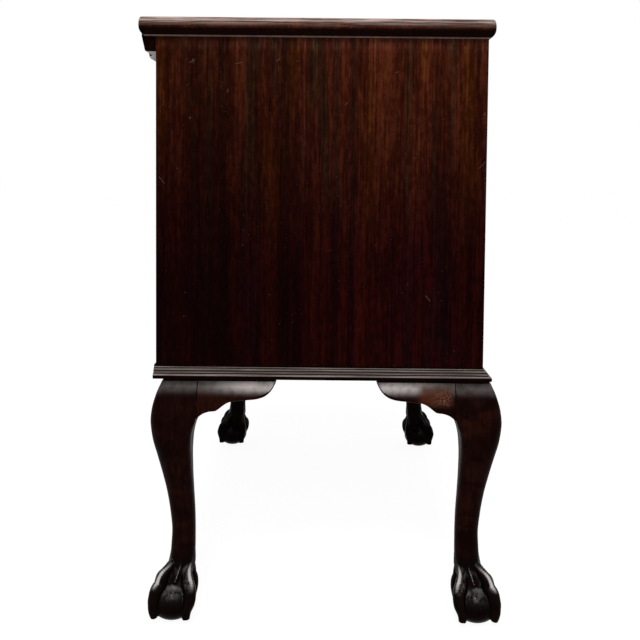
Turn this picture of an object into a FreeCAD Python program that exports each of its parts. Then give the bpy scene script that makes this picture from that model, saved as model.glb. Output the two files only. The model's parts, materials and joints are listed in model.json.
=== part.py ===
import FreeCAD, Part
import math
import os

os.makedirs("parts", exist_ok=True)
V = FreeCAD.Vector

# All lengths are in millimetres. X runs along the width, the front faces -Y, and Z is up from the floor.

# Case
case_width = 874.0
case_depth = 457.0
side_height = 455.0
side_thickness = 18.0
joint_depth = 6.0            # how far rails, dividers and runners are let into the sides
back_thickness = 10.0
back_rabbet = 9.0            # how far the back boards lap over each side
back_board_count = 5

# Top
top_thickness = 24.0
top_side_overhang = 20.0
top_front_overhang = 20.0
top_back_overhang = 6.5
top_upper_round = 5.0
top_lower_round = 9.0

# Blocked front: stretches along the width, and steps forward and back from the corner plane
recess_flat = 220.0
recess_sweep = 60.0
corner_sweep = 40.0
corner_flat = 52.0
block_rise = 10.0
recess_drop = 14.0

# Frieze moulding under the top's front edge
frieze_height = 21.0
frieze_top_projection = 19.5
frieze_bottom_projection = 15.5
frieze_round = 3.0

# Rails, dividers and runners inside the case
top_rail_depth = 60.0
divider_depth = 70.0
divider_thickness = 18.0
runner_width = 30.0
kicker_width = 30.0
stop_width = 30.0
stop_depth = 20.0
stop_thickness = 6.0
stop_spacing = 300.0

# Base frame with its moulded edge
base_thickness = 18.0
base_rail_width = 60.0
base_projection = 11.0
base_front_projection = 2.7
dust_panel_thickness = 6.0
dust_panel_tongue = 6.0
dowel_diameter = 8.0
dowel_length = 28.0
dowel_end_margin = 60.0
dowel_count = 4

# Moulded edge from the top down: projection and height, with the middle point of each arc between
base_profile_shares = (
    ("line", None, (0.13, 1.00)),
    ("line", None, (0.13, 0.90)),
    ("arc", (0.44, 0.80), (0.60, 0.56)),
    ("line", None, (0.60, 0.49)),
    ("line", None, (0.72, 0.49)),
    ("arc", (0.92, 0.46), (1.00, 0.36)),
    ("line", None, (1.00, 0.04)),
    ("line", None, (0.95, 0.00)),
)

# Legs
leg_height = 347.0
leg_side_inset = 32.0        # ankle axis behind the outside of the case's side
leg_front_inset = 33.5
leg_rear_inset = 13.5
post_half = 24.0
knee_reach = 42.5
pad_half = 20.0
pad_edge = 1.8               # set back from the top edges of the leg and its brackets
pad_thickness = 6.0
# Height, outer reach and inner reach of each leg section,
# then the rounding of its outer, side and inner corners
leg_shares = (
    (1.000, 0.624, -1.04, 0.12, 0.04, 0.04),
    (0.945, 0.816, -1.04, 0.16, 0.04, 0.04),
    (0.880, 0.958, -1.04, 0.22, 0.04, 0.04),
    (0.836, 0.993, -0.90, 0.26, 0.08, 0.10),
    (0.800, 0.976, -0.72, 0.30, 0.14, 0.16),
    (0.755, 0.930, -0.615, 0.34, 0.20, 0.22),
    (0.690, 0.807, -0.585, 0.38, 0.28, 0.30),
    (0.610, 0.660, -0.61, 0.42, 0.35, 0.36),
    (0.530, 0.525, -0.66, 0.44, 0.40, 0.41),
    (0.440, 0.424, -0.72, 0.46, 0.44, 0.44),
    (0.360, 0.372, -0.742, 0.46, 0.46, 0.46),
    (0.290, 0.405, -0.742, 0.46, 0.46, 0.46),
    (0.235, 0.450, -0.73, 0.46, 0.46, 0.46),
    (0.190, 0.600, -0.60, 0.46, 0.46, 0.46),
    (0.145, 0.740, -0.50, 0.46, 0.46, 0.46),
)

# Ball and claw feet
ball_offset = 12.5           # ball axis outward of the ankle axis, along X and along Y
ball_radius = 32.0
ball_rise = 25.0             # ball centre above the floor
ball_half_height = 28.0
toe_reach = 38.0             # largest distance of a toe's centre line from the ball axis
toe_radius = 9.5
toe_height = 105.0           # top of each toe, where it leaves the ankle
# Height, reach, thickness and pull along a toe; pull is 0 at the ankle axis and 1 at the ball axis
toe_shares = (
    (1.00, 0.30, 0.40, 0.00),
    (0.82, 0.52, 0.52, 0.03),
    (0.743, 0.63, 0.59, 0.14),
    (0.667, 0.78, 0.73, 0.37),
    (0.57, 0.855, 0.93, 0.49),
    (0.476, 0.93, 0.95, 0.67),
    (0.38, 0.955, 0.895, 0.82),
    (0.276, 0.91, 0.905, 0.94),
    (0.171, 0.905, 0.695, 1.02),
    (0.105, 0.905, 0.53, 1.04),
    (0.057, 0.92, 0.36, 1.03),
)

# Knee brackets
bracket_length = 110.0
bracket_drop = 51.0          # height of the bracket at the leg
bracket_inner_face = 4.0     # inner face outward of the ankle axis
# Lower edge from the leg inward: distance along the bracket and height,
# with the middle point of each arc between
bracket_shares = (
    ("arc", (0.09, 0.15), (0.235, 0.215)),
    ("arc", (0.33, 0.355), (0.43, 0.46)),
    ("line", None, (0.75, 0.53)),
    ("arc", (0.91, 0.68), (1.00, 1.00)),
)
glue_block_length = 55.0
glue_block_depth = 18.0
glue_block_height = 28.0

# Drawers
upper_opening = 119.0
middle_opening = 132.0
drawer_gap = 1.0             # running gap round each drawer
drawer_front_thickness = 28.0
drawer_side_thickness = 12.0
drawer_side_clearance = 8.0  # how much lower a drawer side is than its opening
drawer_back_thickness = 12.0
drawer_back_setback = 10.0   # from the drawer back to the ends of the sides
drawer_back_drop = 6.0       # drawer back lower than the sides
drawer_rear_space = 20.0
drawer_bottom_thickness = 6.0
drawer_bottom_rise = 10.0
drawer_groove = 5.0
tail_length = 16.0
tail_slope_share = 0.14
tail_count = 3
tail_width_share = 0.62      # widest part of a tail as a share of its pitch

# Pulls
post_spacing = 76.0
plate_half_width = 58.0
plate_half_height = 29.0
plate_thickness = 2.0
# Half of the plate's outline from the top middle to the bottom middle:
# place, and bulge of the arc that ends there
plate_shares = (
    (0.00, 0.84, 0.00),
    (0.20, 1.00, 0.22),
    (0.36, 0.66, 0.22),
    (0.66, 0.80, -0.20),
    (0.80, 0.40, 0.24),
    (1.00, 0.22, -0.16),
    (0.92, -0.30, 0.34),
    (0.62, -0.34, -0.26),
    (0.44, -0.74, 0.30),
    (0.22, -0.66, -0.20),
    (0.00, -1.00, 0.26),
)
pull_reach = 9.5             # bail axis in front of the drawer's face
pull_rise = 7.0              # bail axis above the middle of the drawer front
post_head_radius = 4.8
post_neck_radius = 3.4
post_collar_radius = 6.5
post_collar_height = 3.0
post_stem_radius = 2.5
nut_radius = 6.0
nut_thickness = 4.0
nut_sides = 6
stem_past_nut = 1.5
bail_rod_radius = 2.2
bail_pin_inset = 4.5         # how far the pin reaches inward of the post's axis
bail_elbow_offset = 8.0      # start of the elbow outward of the post's axis
bail_elbow_radius = 4.5
bail_drop = 36.0
bail_corner_radius = 18.0
hinge_clearance = 0.3

# Screws
screw_radius = 2.2
screw_head_radius = 4.2
screw_head_height = 3.0
screw_clearance = 0.3
screw_bite = 14.0            # how far a screw goes into the top
leg_screw_bite = 32.0
leg_screw_spacing = 24.0
leg_screw_inset = 1.0        # toward the middle of the case from the ankle axis
back_screw_bite = 20.0
top_screw_spacing = 330.0

overrun = 5.0                # how far a cutting tool runs past what it cuts
tiny = 0.01                  # tolerance for picking edges by their height

# Heights and planes that follow from the sizes above
half_width = case_width / 2
inner_half = half_width - side_thickness
front_y = -case_depth / 2
rear_y = case_depth / 2
back_y = rear_y - back_thickness
base_z = leg_height + pad_thickness
case_z = base_z + base_thickness
top_z = case_z + side_height
rail_z = top_z - frieze_height
lower_opening = side_height - frieze_height - 2 * divider_thickness - upper_opening - middle_opening
lower_divider_z = case_z + lower_opening
upper_divider_z = lower_divider_z + divider_thickness + middle_opening
base_inner_half = half_width - base_rail_width
pull_x = (half_width - corner_flat - corner_sweep + recess_flat / 2 + recess_sweep) / 2
drawer_back_face = front_y + drawer_front_thickness
leg_places = {
    "front_left": (-1, -1),
    "front_right": (1, -1),
    "rear_left": (-1, 1),
    "rear_right": (1, 1),
}
drawers = {
    "upper": (upper_divider_z + divider_thickness, upper_opening),
    "middle": (lower_divider_z + divider_thickness, middle_opening),
    "lower": (case_z, lower_opening),
}


def box(x0, x1, y0, y1, z0, z1):
    """Block between two corners."""
    return Part.makeBox(x1 - x0, y1 - y0, z1 - z0, V(x0, y0, z0))


def mirrored(shape):
    """The same piece on the other side of the middle plane."""
    return shape.mirror(V(0, 0, 0), V(1, 0, 0))


def line(a, b):
    return Part.makeLine(a, b)


def arc(a, middle, b):
    return Part.Arc(a, middle, b).toShape()


def filled(edges):
    """Flat face inside a closed chain of edges."""
    return Part.Face(Part.Wire(Part.__sortEdges__(edges)))


def polygon(points):
    return Part.Face(Part.makePolygon(list(points) + [points[0]]))


def cut_all(shape, tools):
    """The shape less each of the tools."""
    return shape.cut(Part.makeCompound(tools)) if tools else shape


def sweep_arcs(low, high, offset):
    """Two equal tangent arcs from a hollow point to a raised point of the front, moved forward."""
    run = high[0] - low[0]
    side = math.copysign(1, run)
    turn = 2 * math.atan((high[1] - low[1]) / abs(run))
    radius = abs(run) / (2 * math.sin(turn))

    def hollow(angle):
        reach = radius - offset
        return (low[0] + side * reach * math.sin(angle), low[1] + radius - reach * math.cos(angle))

    def raised(angle):
        reach = radius + offset
        return (high[0] - side * reach * math.sin(angle), high[1] - radius + reach * math.cos(angle))

    return [
        [hollow(0), hollow(turn / 2), hollow(turn)],
        [raised(turn), raised(turn / 2), raised(0)],
    ]


def front_path(offset, half_length):
    """The blocked front from left to right as runs of 2 points (lines) or 3 points (arcs)."""
    recess_end = recess_flat / 2
    block_start = recess_end + recess_sweep
    corner_start = half_width - corner_flat
    block_end = corner_start - corner_sweep
    inner = sweep_arcs((recess_end, -recess_drop), (block_start, block_rise), offset)
    outer = sweep_arcs((corner_start, 0), (block_end, block_rise), offset)
    right = inner + [[inner[-1][-1], outer[-1][-1]]]
    right += [list(reversed(run)) for run in reversed(outer)]
    right += [[outer[0][0], (half_length, offset)]]
    left = [[(-x, forward) for x, forward in reversed(run)] for run in reversed(right)]
    return left + [[left[-1][-1], right[0][0]]] + right


def front_edges(offset, half_length, z):
    """The blocked front as edges at one height."""
    edges = []
    for run in front_path(offset, half_length):
        points = [V(x, front_y - forward, z) for x, forward in run]
        edges.append(line(*points) if len(points) == 2 else arc(*points))
    return edges


def front_plate_face(offset, half_length, rear, z):
    """Flat plate with a blocked front edge and straight sides and rear."""
    front_left = V(-half_length, front_y - offset, z)
    front_right = V(half_length, front_y - offset, z)
    rear_left = V(-half_length, rear, z)
    rear_right = V(half_length, rear, z)
    sides = [line(front_right, rear_right), line(rear_right, rear_left), line(rear_left, front_left)]
    return filled(front_edges(offset, half_length, z) + sides)


def front_plate(offset, half_length, rear, z, thickness):
    return front_plate_face(offset, half_length, rear, z).extrude(V(0, 0, thickness))


def edges_at(shape, z):
    """Edges of a shape that lie in one level plane."""
    return [e for e in shape.Edges if abs(e.BoundBox.ZMin - z) < tiny and abs(e.BoundBox.ZMax - z) < tiny]


def screw(length, extra=0.0):
    """Countersunk wood screw with its head at the origin and its point along +Z, or its hole."""
    body = Part.makeCylinder(screw_radius + extra, length + extra)
    head = Part.makeCone(screw_head_radius + extra, screw_radius + extra, screw_head_height)
    return body.fuse(head).removeSplitter()


def placed(shape, position, axis):
    """A piece made along +Z, turned to point along an axis and moved into place."""
    turned = shape.copy()
    turned.Placement = FreeCAD.Placement(position, FreeCAD.Rotation(V(0, 0, 1), axis))
    return turned


# Top board and the rails under it
def top_board():
    half_length = half_width + top_side_overhang
    board = front_plate(top_front_overhang, half_length, rear_y + top_back_overhang, top_z, top_thickness)
    board = board.makeFillet(top_upper_round, edges_at(board, top_z + top_thickness))
    return board.makeFillet(top_lower_round, edges_at(board, top_z))


def frieze_moulding():
    """Strip along the blocked front whose face leans in toward its lower edge."""
    sections = []
    for z, projection in ((rail_z, frieze_bottom_projection), (top_z, frieze_top_projection)):
        sections.append(front_plate_face(projection, half_width, rear_y, z).OuterWire)
    whole = Part.makeLoft(sections, True, True)
    strip = whole.cut(front_plate(0, half_width + overrun, rear_y + overrun, rail_z - overrun,
                                  frieze_height + 2 * overrun))
    lower = [e for e in edges_at(strip, rail_z) if e.BoundBox.YMax < front_y + recess_drop - tiny
             and e.BoundBox.XLength > tiny and is_on_offset(e, frieze_bottom_projection)]
    return strip.makeFillet(frieze_round, lower)


def is_on_offset(edge, offset):
    """True where an edge of the blocked front belongs to the run at that offset."""
    middle = edge.valueAt((edge.FirstParameter + edge.LastParameter) / 2)
    for run in front_edges(offset, half_width, middle.z):
        if run.distToShape(Part.Vertex(middle))[0] < tiny:
            return True
    return False


def top_front_rail():
    return front_plate(0, inner_half + joint_depth, front_y + top_rail_depth, rail_z, frieze_height)


def top_rear_rail():
    reach = inner_half + joint_depth
    return box(-reach, reach, back_y - top_rail_depth, back_y, rail_z, top_z)


def top_kickers():
    kicker = box(inner_half - kicker_width, inner_half, front_y + top_rail_depth, back_y - top_rail_depth,
                 rail_z, top_z)
    return [kicker, mirrored(kicker)]


# Dividers, runners and stops
def divider(z):
    return front_plate(0, inner_half + joint_depth, front_y + divider_depth, z, divider_thickness)


def drawer_runners():
    runners = []
    for z in (lower_divider_z, upper_divider_z):
        runner = box(inner_half - runner_width, inner_half + joint_depth, front_y + divider_depth, back_y,
                     z, z + divider_thickness)
        runners += [runner, mirrored(runner)]
    return runners


def drawer_stops():
    stops = []
    for floor_z, opening in drawers.values():
        for side in (-1, 1):
            x = side * stop_spacing / 2
            stops.append(box(x - stop_width / 2, x + stop_width / 2, drawer_back_face,
                             drawer_back_face + stop_depth, floor_z, floor_z + stop_thickness))
    return stops


# Sides and back
def back_boards():
    """Upright boards side by side in the rabbets of the case sides."""
    reach = inner_half + back_rabbet
    width = 2 * reach / back_board_count
    return [box(-reach + i * width, -reach + (i + 1) * width, back_y, rear_y, case_z, top_z)
            for i in range(back_board_count)]


def case_side(let_in):
    """Right-hand side board, housed for everything that is let into it."""
    board = box(inner_half, half_width, front_y, rear_y, case_z, top_z)
    return cut_all(board, let_in)


# Base frame


def base_profile(place):
    """Face of a base rail's section; place maps (outward, height) to a point."""
    start = place(0, base_thickness)
    edges = []
    here = start
    for kind, middle, end in base_profile_shares:
        there = place(end[0] * base_projection, end[1] * base_thickness)
        if kind == "line":
            edges.append(line(here, there))
        else:
            edges.append(arc(here, place(middle[0] * base_projection, middle[1] * base_thickness), there))
        here = there
    inner_low = place(-base_rail_width, 0)
    inner_high = place(-base_rail_width, base_thickness)
    edges += [line(here, inner_low), line(inner_low, inner_high), line(inner_high, start)]
    return filled(edges)


def mitre_tool(keep_side):
    """Wedge beyond the 45 degree joint at the right rear corner, for the side rail or for the rear rail."""
    reach = base_rail_width + base_projection + overrun
    inner = V(half_width - reach, rear_y - reach, base_z - overrun)
    outer = V(half_width + reach, rear_y + reach, base_z - overrun)
    if keep_side:
        third = V(half_width - reach, rear_y + reach, base_z - overrun)
    else:
        third = V(half_width + reach, rear_y - reach, base_z - overrun)
    return polygon([inner, outer, third]).extrude(V(0, 0, base_thickness + 2 * overrun))


def base_rail_side():
    start_y = front_y - base_front_projection
    profile = base_profile(lambda out, up: V(half_width + out, start_y, base_z + up))
    rail = profile.extrude(V(0, rear_y + base_projection - start_y, 0))
    return rail.cut(mitre_tool(True))


def base_rail_rear():
    reach = half_width + base_projection
    profile = base_profile(lambda out, up: V(-reach, rear_y + out, base_z + up))
    rail = profile.extrude(V(2 * reach, 0, 0))
    wedge = mitre_tool(False)
    return cut_all(rail, [wedge, mirrored(wedge)])


def base_rail_front():
    return front_plate(base_front_projection, base_inner_half, front_y + base_rail_width,
                       base_z, base_thickness)


def dust_panel():
    """Thin panel in a groove round the inside of the base frame."""
    reach = base_inner_half + dust_panel_tongue
    low = base_z + (base_thickness - dust_panel_thickness) / 2
    return box(-reach, reach, front_y + base_rail_width - dust_panel_tongue,
               rear_y - base_rail_width + dust_panel_tongue, low, low + dust_panel_thickness)


def base_dowels(extra=0.0):
    """Pegs between the base frame and the case sides, or their holes with extra room."""
    pegs = []
    pitch = (case_depth - 2 * dowel_end_margin) / (dowel_count - 1)
    for side in (-1, 1):
        for i in range(dowel_count):
            foot = V(side * (inner_half + side_thickness / 2), front_y + dowel_end_margin + i * pitch,
                     case_z - dowel_length / 2 - extra)
            pegs.append(Part.makeCylinder(dowel_diameter / 2 + extra, dowel_length + 2 * extra, foot))
    return pegs


# Legs, built with the outside corner toward +X and +Y and the ankle axis on Z
def rounded_square(low, high, z, rounds):
    """Section of a leg with its own rounding at the outer, the two side and the inner corners."""
    size = high - low
    outer, side, inner = (share * size for share in rounds)
    corners = ((high, high, 1, 1, outer), (low, high, -1, 1, side), (low, low, -1, -1, inner),
               (high, low, 1, -1, side))
    arcs = []
    for i, (x, y, sx, sy, r) in enumerate(corners):
        centre = V(x - sx * r, y - sy * r, z)
        along_x = centre + V(sx * r, 0, 0)
        along_y = centre + V(0, sy * r, 0)
        middle = centre + V(sx, sy, 0).normalize() * r
        arcs.append((along_x, middle, along_y) if i % 2 == 0 else (along_y, middle, along_x))
    edges = []
    for i, here in enumerate(arcs):
        edges.append(arc(*here))
        edges.append(line(here[2], arcs[(i + 1) % len(arcs)][0]))
    return Part.Wire(edges)


def leg_shaft():
    sections = []
    for height, outer, inner, *rounds in leg_shares:
        sections.append(rounded_square(inner * post_half, outer * knee_reach, height * leg_height, rounds))
    shaft = Part.makeLoft(sections, True, False)
    seam = post_half
    far = knee_reach + overrun
    top = leg_height + overrun
    beyond = [box(-far, -seam, -far, far, 0, top), box(-far, far, -far, -seam, 0, top)]
    return cut_all(shaft, beyond)


def foot_ball():
    ball = Part.makeSphere(1)
    stretch = FreeCAD.Matrix()
    stretch.scale(ball_radius, ball_radius, ball_half_height)
    return ball.transformGeometry(stretch).translate(V(ball_offset, ball_offset, ball_rise))


def toe(angle):
    """One toe from the ankle over the ball down to its claw."""
    along = V(math.cos(angle), math.sin(angle), 0)
    side = V(-along.y, along.x, 0)
    spots = []
    for height, reach, thickness, pull in toe_shares:
        axis = V(ball_offset * pull, ball_offset * pull, height * toe_height)
        spots.append((axis + along * (reach * toe_reach), thickness * toe_radius))
    rings = []
    for i, (spot, radius) in enumerate(spots):
        ahead = spots[min(i + 1, len(spots) - 1)][0]
        behind = spots[max(i - 1, 0)][0]
        turn = FreeCAD.Rotation(side, V(0, 0, 0), ahead - behind, "ZXY")
        ring = Part.Wire([Part.makeCircle(radius)])
        ring.Placement = FreeCAD.Placement(spot, turn)
        rings.append(ring)
    return Part.makeLoft(rings, True, False)


def corner_leg():
    """Cabriole leg with its ball and claw foot, flat where it stands on the floor."""
    pieces = [foot_ball()] + [toe(math.radians(45 + 90 * i)) for i in range(4)]
    leg = leg_shaft().multiFuse(pieces)
    reach = ball_offset + toe_reach + 2 * toe_radius
    return leg.cut(box(-reach, reach, -reach, reach, -ball_radius, 0))


def knee_bracket():
    """Bracket on the side face of a leg, running along -Y from the post, curved like the knee."""
    low = leg_height - bracket_drop
    start = V(0, -post_half, low)
    edges = []
    here = start
    for kind, middle, end in bracket_shares:
        there = V(0, -post_half - end[0] * bracket_length, low + end[1] * bracket_drop)
        if kind == "line":
            edges.append(line(here, there))
        else:
            through = V(0, -post_half - middle[0] * bracket_length, low + middle[1] * bracket_drop)
            edges.append(arc(here, through, there))
        here = there
    top = V(0, -post_half, leg_height)
    edges += [line(here, top), line(top, start)]
    board = filled(edges).extrude(V(knee_reach + overrun, 0, 0))
    knee = [V(outer * knee_reach, -post_half - bracket_length - overrun, height * leg_height)
            for height, outer, *rest in leg_shares if height * leg_height > low - overrun]
    curve = Part.BSplineCurve()
    curve.interpolate(knee)
    bottom = V(bracket_inner_face, knee[-1].y, knee[-1].z)
    crown = V(bracket_inner_face, knee[0].y, knee[0].z)
    face = filled([curve.toShape(), line(knee[-1], bottom), line(bottom, crown), line(crown, knee[0])])
    return board.common(face.extrude(V(0, bracket_length + 2 * overrun, 0)))


def leg_pad():
    """Thin pad over the leg with an arm over each of its brackets."""
    outer = leg_shares[0][1] * knee_reach - pad_edge
    end = -post_half - bracket_length + pad_edge
    top = leg_height + pad_thickness
    middle = box(-pad_half, outer, -pad_half, outer, leg_height, top)
    arm = box(bracket_inner_face, outer, end, 0, leg_height, top)
    return middle.multiFuse([arm, across(arm)]).removeSplitter()


def glue_block():
    """Block behind a knee bracket, up against the base frame."""
    start = -post_half - (bracket_length - glue_block_length) / 2
    top = leg_height + pad_thickness
    return box(bracket_inner_face - glue_block_depth, bracket_inner_face, start - glue_block_length, start,
               top - glue_block_height, top)


def at_corner(shape, side_x, side_y):
    """A leg piece moved to one corner of the case and turned to face outward."""
    turned = shape.copy()
    if side_x < 0:
        turned = turned.mirror(V(0, 0, 0), V(1, 0, 0))
    if side_y < 0:
        turned = turned.mirror(V(0, 0, 0), V(0, 1, 0))
    inset_y = leg_rear_inset if side_y > 0 else leg_front_inset
    return turned.translate(V(side_x * (half_width - leg_side_inset),
                              side_y * (case_depth / 2 - inset_y), 0))


def across(shape):
    """A bracket piece of the side face turned onto the front or rear face of the same leg."""
    return shape.mirror(V(0, 0, 0), V(1, -1, 0))


def leg_screws(extra=0.0):
    """Two screws down through the base frame into each leg, or their holes with extra room."""
    length = base_thickness + pad_thickness + leg_screw_bite
    one = screw(length, extra)
    screws = []
    for side_x, side_y in leg_places.values():
        for step in (-1, 1):
            local = placed(one, V(-leg_screw_inset, step * leg_screw_spacing / 2, case_z), V(0, 0, -1))
            screws.append(at_corner(local, side_x, side_y))
    return screws


def top_screws(extra=0.0):
    """Screws up through the top rails into the top, or their holes with extra room."""
    one = screw(frieze_height + screw_bite, extra)
    screws = []
    for y in (front_y + top_rail_depth / 2, back_y - top_rail_depth / 2):
        for step in (-1, 0, 1):
            screws.append(placed(one, V(step * top_screw_spacing, y, rail_z), V(0, 0, 1)))
    return screws


def back_screws(extra=0.0):
    """Screws through the back boards into the top rear rail and into the case sides, or their holes."""
    one = screw(back_thickness + back_screw_bite, extra)
    reach = inner_half + back_rabbet
    pitch = 2 * reach / back_board_count
    middle_z = rail_z + frieze_height / 2
    spots = [(-reach + (i + 1 / 2) * pitch, middle_z) for i in range(back_board_count)]
    heights = (case_z + lower_opening / 2, upper_divider_z - middle_opening / 2,
               upper_divider_z + upper_opening / 2)
    for side in (-1, 1):
        for z in heights:
            spots.append((side * (inner_half + back_rabbet / 2), z))
    return [placed(one, V(x, rear_y, z), V(0, -1, 0)) for x, z in spots]


# Drawers
def drawer_sizes(floor_z, opening):
    """Heights of one drawer: bottom and top of its front, top of its sides, and its bottom panel."""
    return {
        "front_low": floor_z + drawer_gap,
        "front_high": floor_z + opening - drawer_gap,
        "side_low": floor_z,
        "side_high": floor_z + opening - drawer_side_clearance,
        "panel_low": floor_z + drawer_bottom_rise,
        "panel_high": floor_z + drawer_bottom_rise + drawer_bottom_thickness,
    }


def drawer_tails(size, outer_x):
    """Dovetails on the front end of a right-hand drawer side."""
    low = size["panel_high"]
    pitch = (size["side_high"] - low) / tail_count
    wide = pitch * tail_width_share
    narrow = wide - 2 * tail_slope_share * tail_length
    tails = []
    for i in range(tail_count):
        z = low + (i + 1 / 2) * pitch
        x = outer_x - drawer_side_thickness
        root = drawer_back_face
        tip = drawer_back_face - tail_length
        points = [V(x, root, z - narrow / 2), V(x, tip, z - wide / 2), V(x, tip, z + wide / 2),
                  V(x, root, z + narrow / 2)]
        tails.append(polygon(points).extrude(V(drawer_side_thickness, 0, 0)))
    return tails


def drawer_box(name):
    """The wooden pieces of one drawer, with the places of its pulls drilled through the front."""
    floor_z, opening = drawers[name]
    size = drawer_sizes(floor_z, opening)
    outer_x = inner_half - drawer_gap
    inner_x = outer_x - drawer_side_thickness
    rear = back_y - drawer_rear_space
    panel = box(-inner_x - drawer_groove, inner_x + drawer_groove, drawer_back_face - drawer_groove,
                rear - drawer_back_setback, size["panel_low"], size["panel_high"])
    reach = inner_x + drawer_groove
    back_end = rear - drawer_back_setback
    back = box(-reach, reach, back_end - drawer_back_thickness, back_end,
               size["panel_high"], size["side_high"] - drawer_back_drop)
    tails = drawer_tails(size, outer_x)
    blank = box(inner_x, outer_x, drawer_back_face, rear, size["side_low"], size["side_high"])
    side = cut_all(blank.multiFuse(tails).removeSplitter(), [panel, back])
    front = front_plate(0, outer_x, drawer_back_face, size["front_low"],
                        size["front_high"] - size["front_low"])
    holes = [post_hole(x, z) for x, z in post_places(name)]
    front = cut_all(front, tails + [mirrored(t) for t in tails] + [panel] + holes)
    return {
        "front": front,
        "side_left": mirrored(side),
        "side_right": side,
        "back": back,
        "bottom": panel,
    }


# Pulls
def pull_height(name):
    floor_z, opening = drawers[name]
    return floor_z + opening / 2 + pull_rise


def post_places(name):
    """Centres of the four posts of one drawer."""
    return [(side * pull_x + end * post_spacing / 2, pull_height(name))
            for side in (-1, 1) for end in (-1, 1)]


def post_hole(x, z):
    depth = block_rise + drawer_front_thickness + plate_thickness + 2 * overrun
    start = V(x, front_y - block_rise - plate_thickness - overrun, z)
    return Part.makeCylinder(post_stem_radius + hinge_clearance, depth, start, V(0, 1, 0))


def bulged_arc(a, b, bulge):
    """Arc between two points of an upright outline that swells to one side by a share of their distance."""
    middle = (a + b) * 0.5
    chord = b - a
    return arc(a, middle + V(-chord.z, 0, chord.x) * bulge, b)


def pull_plate(centre_x, name):
    """Shaped plate behind one pull, with a hole for each post."""
    z = pull_height(name)
    y = front_y - block_rise

    def spot(share_x, share_z):
        return V(centre_x + share_x * plate_half_width, y, z + share_z * plate_half_height)

    edges = []
    for (x0, z0, skip), (x1, z1, bulge) in zip(plate_shares, plate_shares[1:]):
        edges.append(bulged_arc(spot(x0, z0), spot(x1, z1), bulge))
        edges.append(bulged_arc(spot(-x1, z1), spot(-x0, z0), bulge))
    plate = filled(edges).extrude(V(0, -plate_thickness, 0))
    return cut_all(plate, [post_hole(x, hole_z) for x, hole_z in post_places(name)])


def pull_post(x, z):
    """Turned post with a round head that is bored for the bail, and a stem through the drawer front."""
    face = front_y - block_rise - plate_thickness
    head_y = front_y - block_rise - pull_reach
    inside = drawer_back_face
    stem_end = inside + nut_thickness + stem_past_nut
    pieces = [
        Part.makeCylinder(post_collar_radius, post_collar_height, V(x, face, z), V(0, -1, 0)),
        Part.makeCylinder(post_neck_radius, face - head_y, V(x, face, z), V(0, -1, 0)),
        Part.makeCylinder(post_stem_radius, stem_end - face, V(x, face, z), V(0, 1, 0)),
    ]
    post = Part.makeSphere(post_head_radius, V(x, head_y, z)).multiFuse(pieces)
    bore = Part.makeCylinder(bail_rod_radius + hinge_clearance, 2 * (post_head_radius + overrun),
                             V(x - post_head_radius - overrun, head_y, z), V(1, 0, 0))
    return post.cut(bore)


def post_nut(x, z):
    """Hexagonal nut on the stem inside the drawer."""
    corners = [V(x + nut_radius * math.cos(i * 2 * math.pi / nut_sides), drawer_back_face,
                 z + nut_radius * math.sin(i * 2 * math.pi / nut_sides)) for i in range(nut_sides)]
    nut = polygon(corners).extrude(V(0, nut_thickness, 0))
    bore = Part.makeCylinder(post_stem_radius, nut_thickness + 2 * overrun,
                             V(x, drawer_back_face - overrun, z), V(0, 1, 0))
    return nut.cut(bore)


def bail(centre_x, name):
    """Round-cornered swinging handle whose inturned ends are its hinge pins."""
    y = front_y - block_rise - pull_reach
    z = pull_height(name)
    half = post_spacing / 2
    elbow = half + bail_elbow_offset
    arm = elbow + bail_elbow_radius
    slant = math.sqrt(1 / 2)

    def spot(x, down):
        return V(centre_x + x, y, z - down)

    def half_path(side):
        corner_x = arm - bail_corner_radius
        corner_down = bail_drop - bail_corner_radius
        return [
            line(spot(side * (half - bail_pin_inset), 0), spot(side * elbow, 0)),
            arc(spot(side * elbow, 0),
                spot(side * (elbow + bail_elbow_radius * slant), bail_elbow_radius * (1 - slant)),
                spot(side * arm, bail_elbow_radius)),
            line(spot(side * arm, bail_elbow_radius), spot(side * arm, corner_down)),
            arc(spot(side * arm, corner_down),
                spot(side * (corner_x + bail_corner_radius * slant),
                     corner_down + bail_corner_radius * slant),
                spot(side * corner_x, bail_drop)),
            line(spot(side * corner_x, bail_drop), spot(0, bail_drop)),
        ]

    path = Part.Wire(Part.__sortEdges__(half_path(1) + half_path(-1)))
    start = spot(half - bail_pin_inset, 0)
    section = Part.Wire([Part.makeCircle(bail_rod_radius, start, V(1, 0, 0))])
    return path.makePipeShell([section], True, False)


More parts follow.
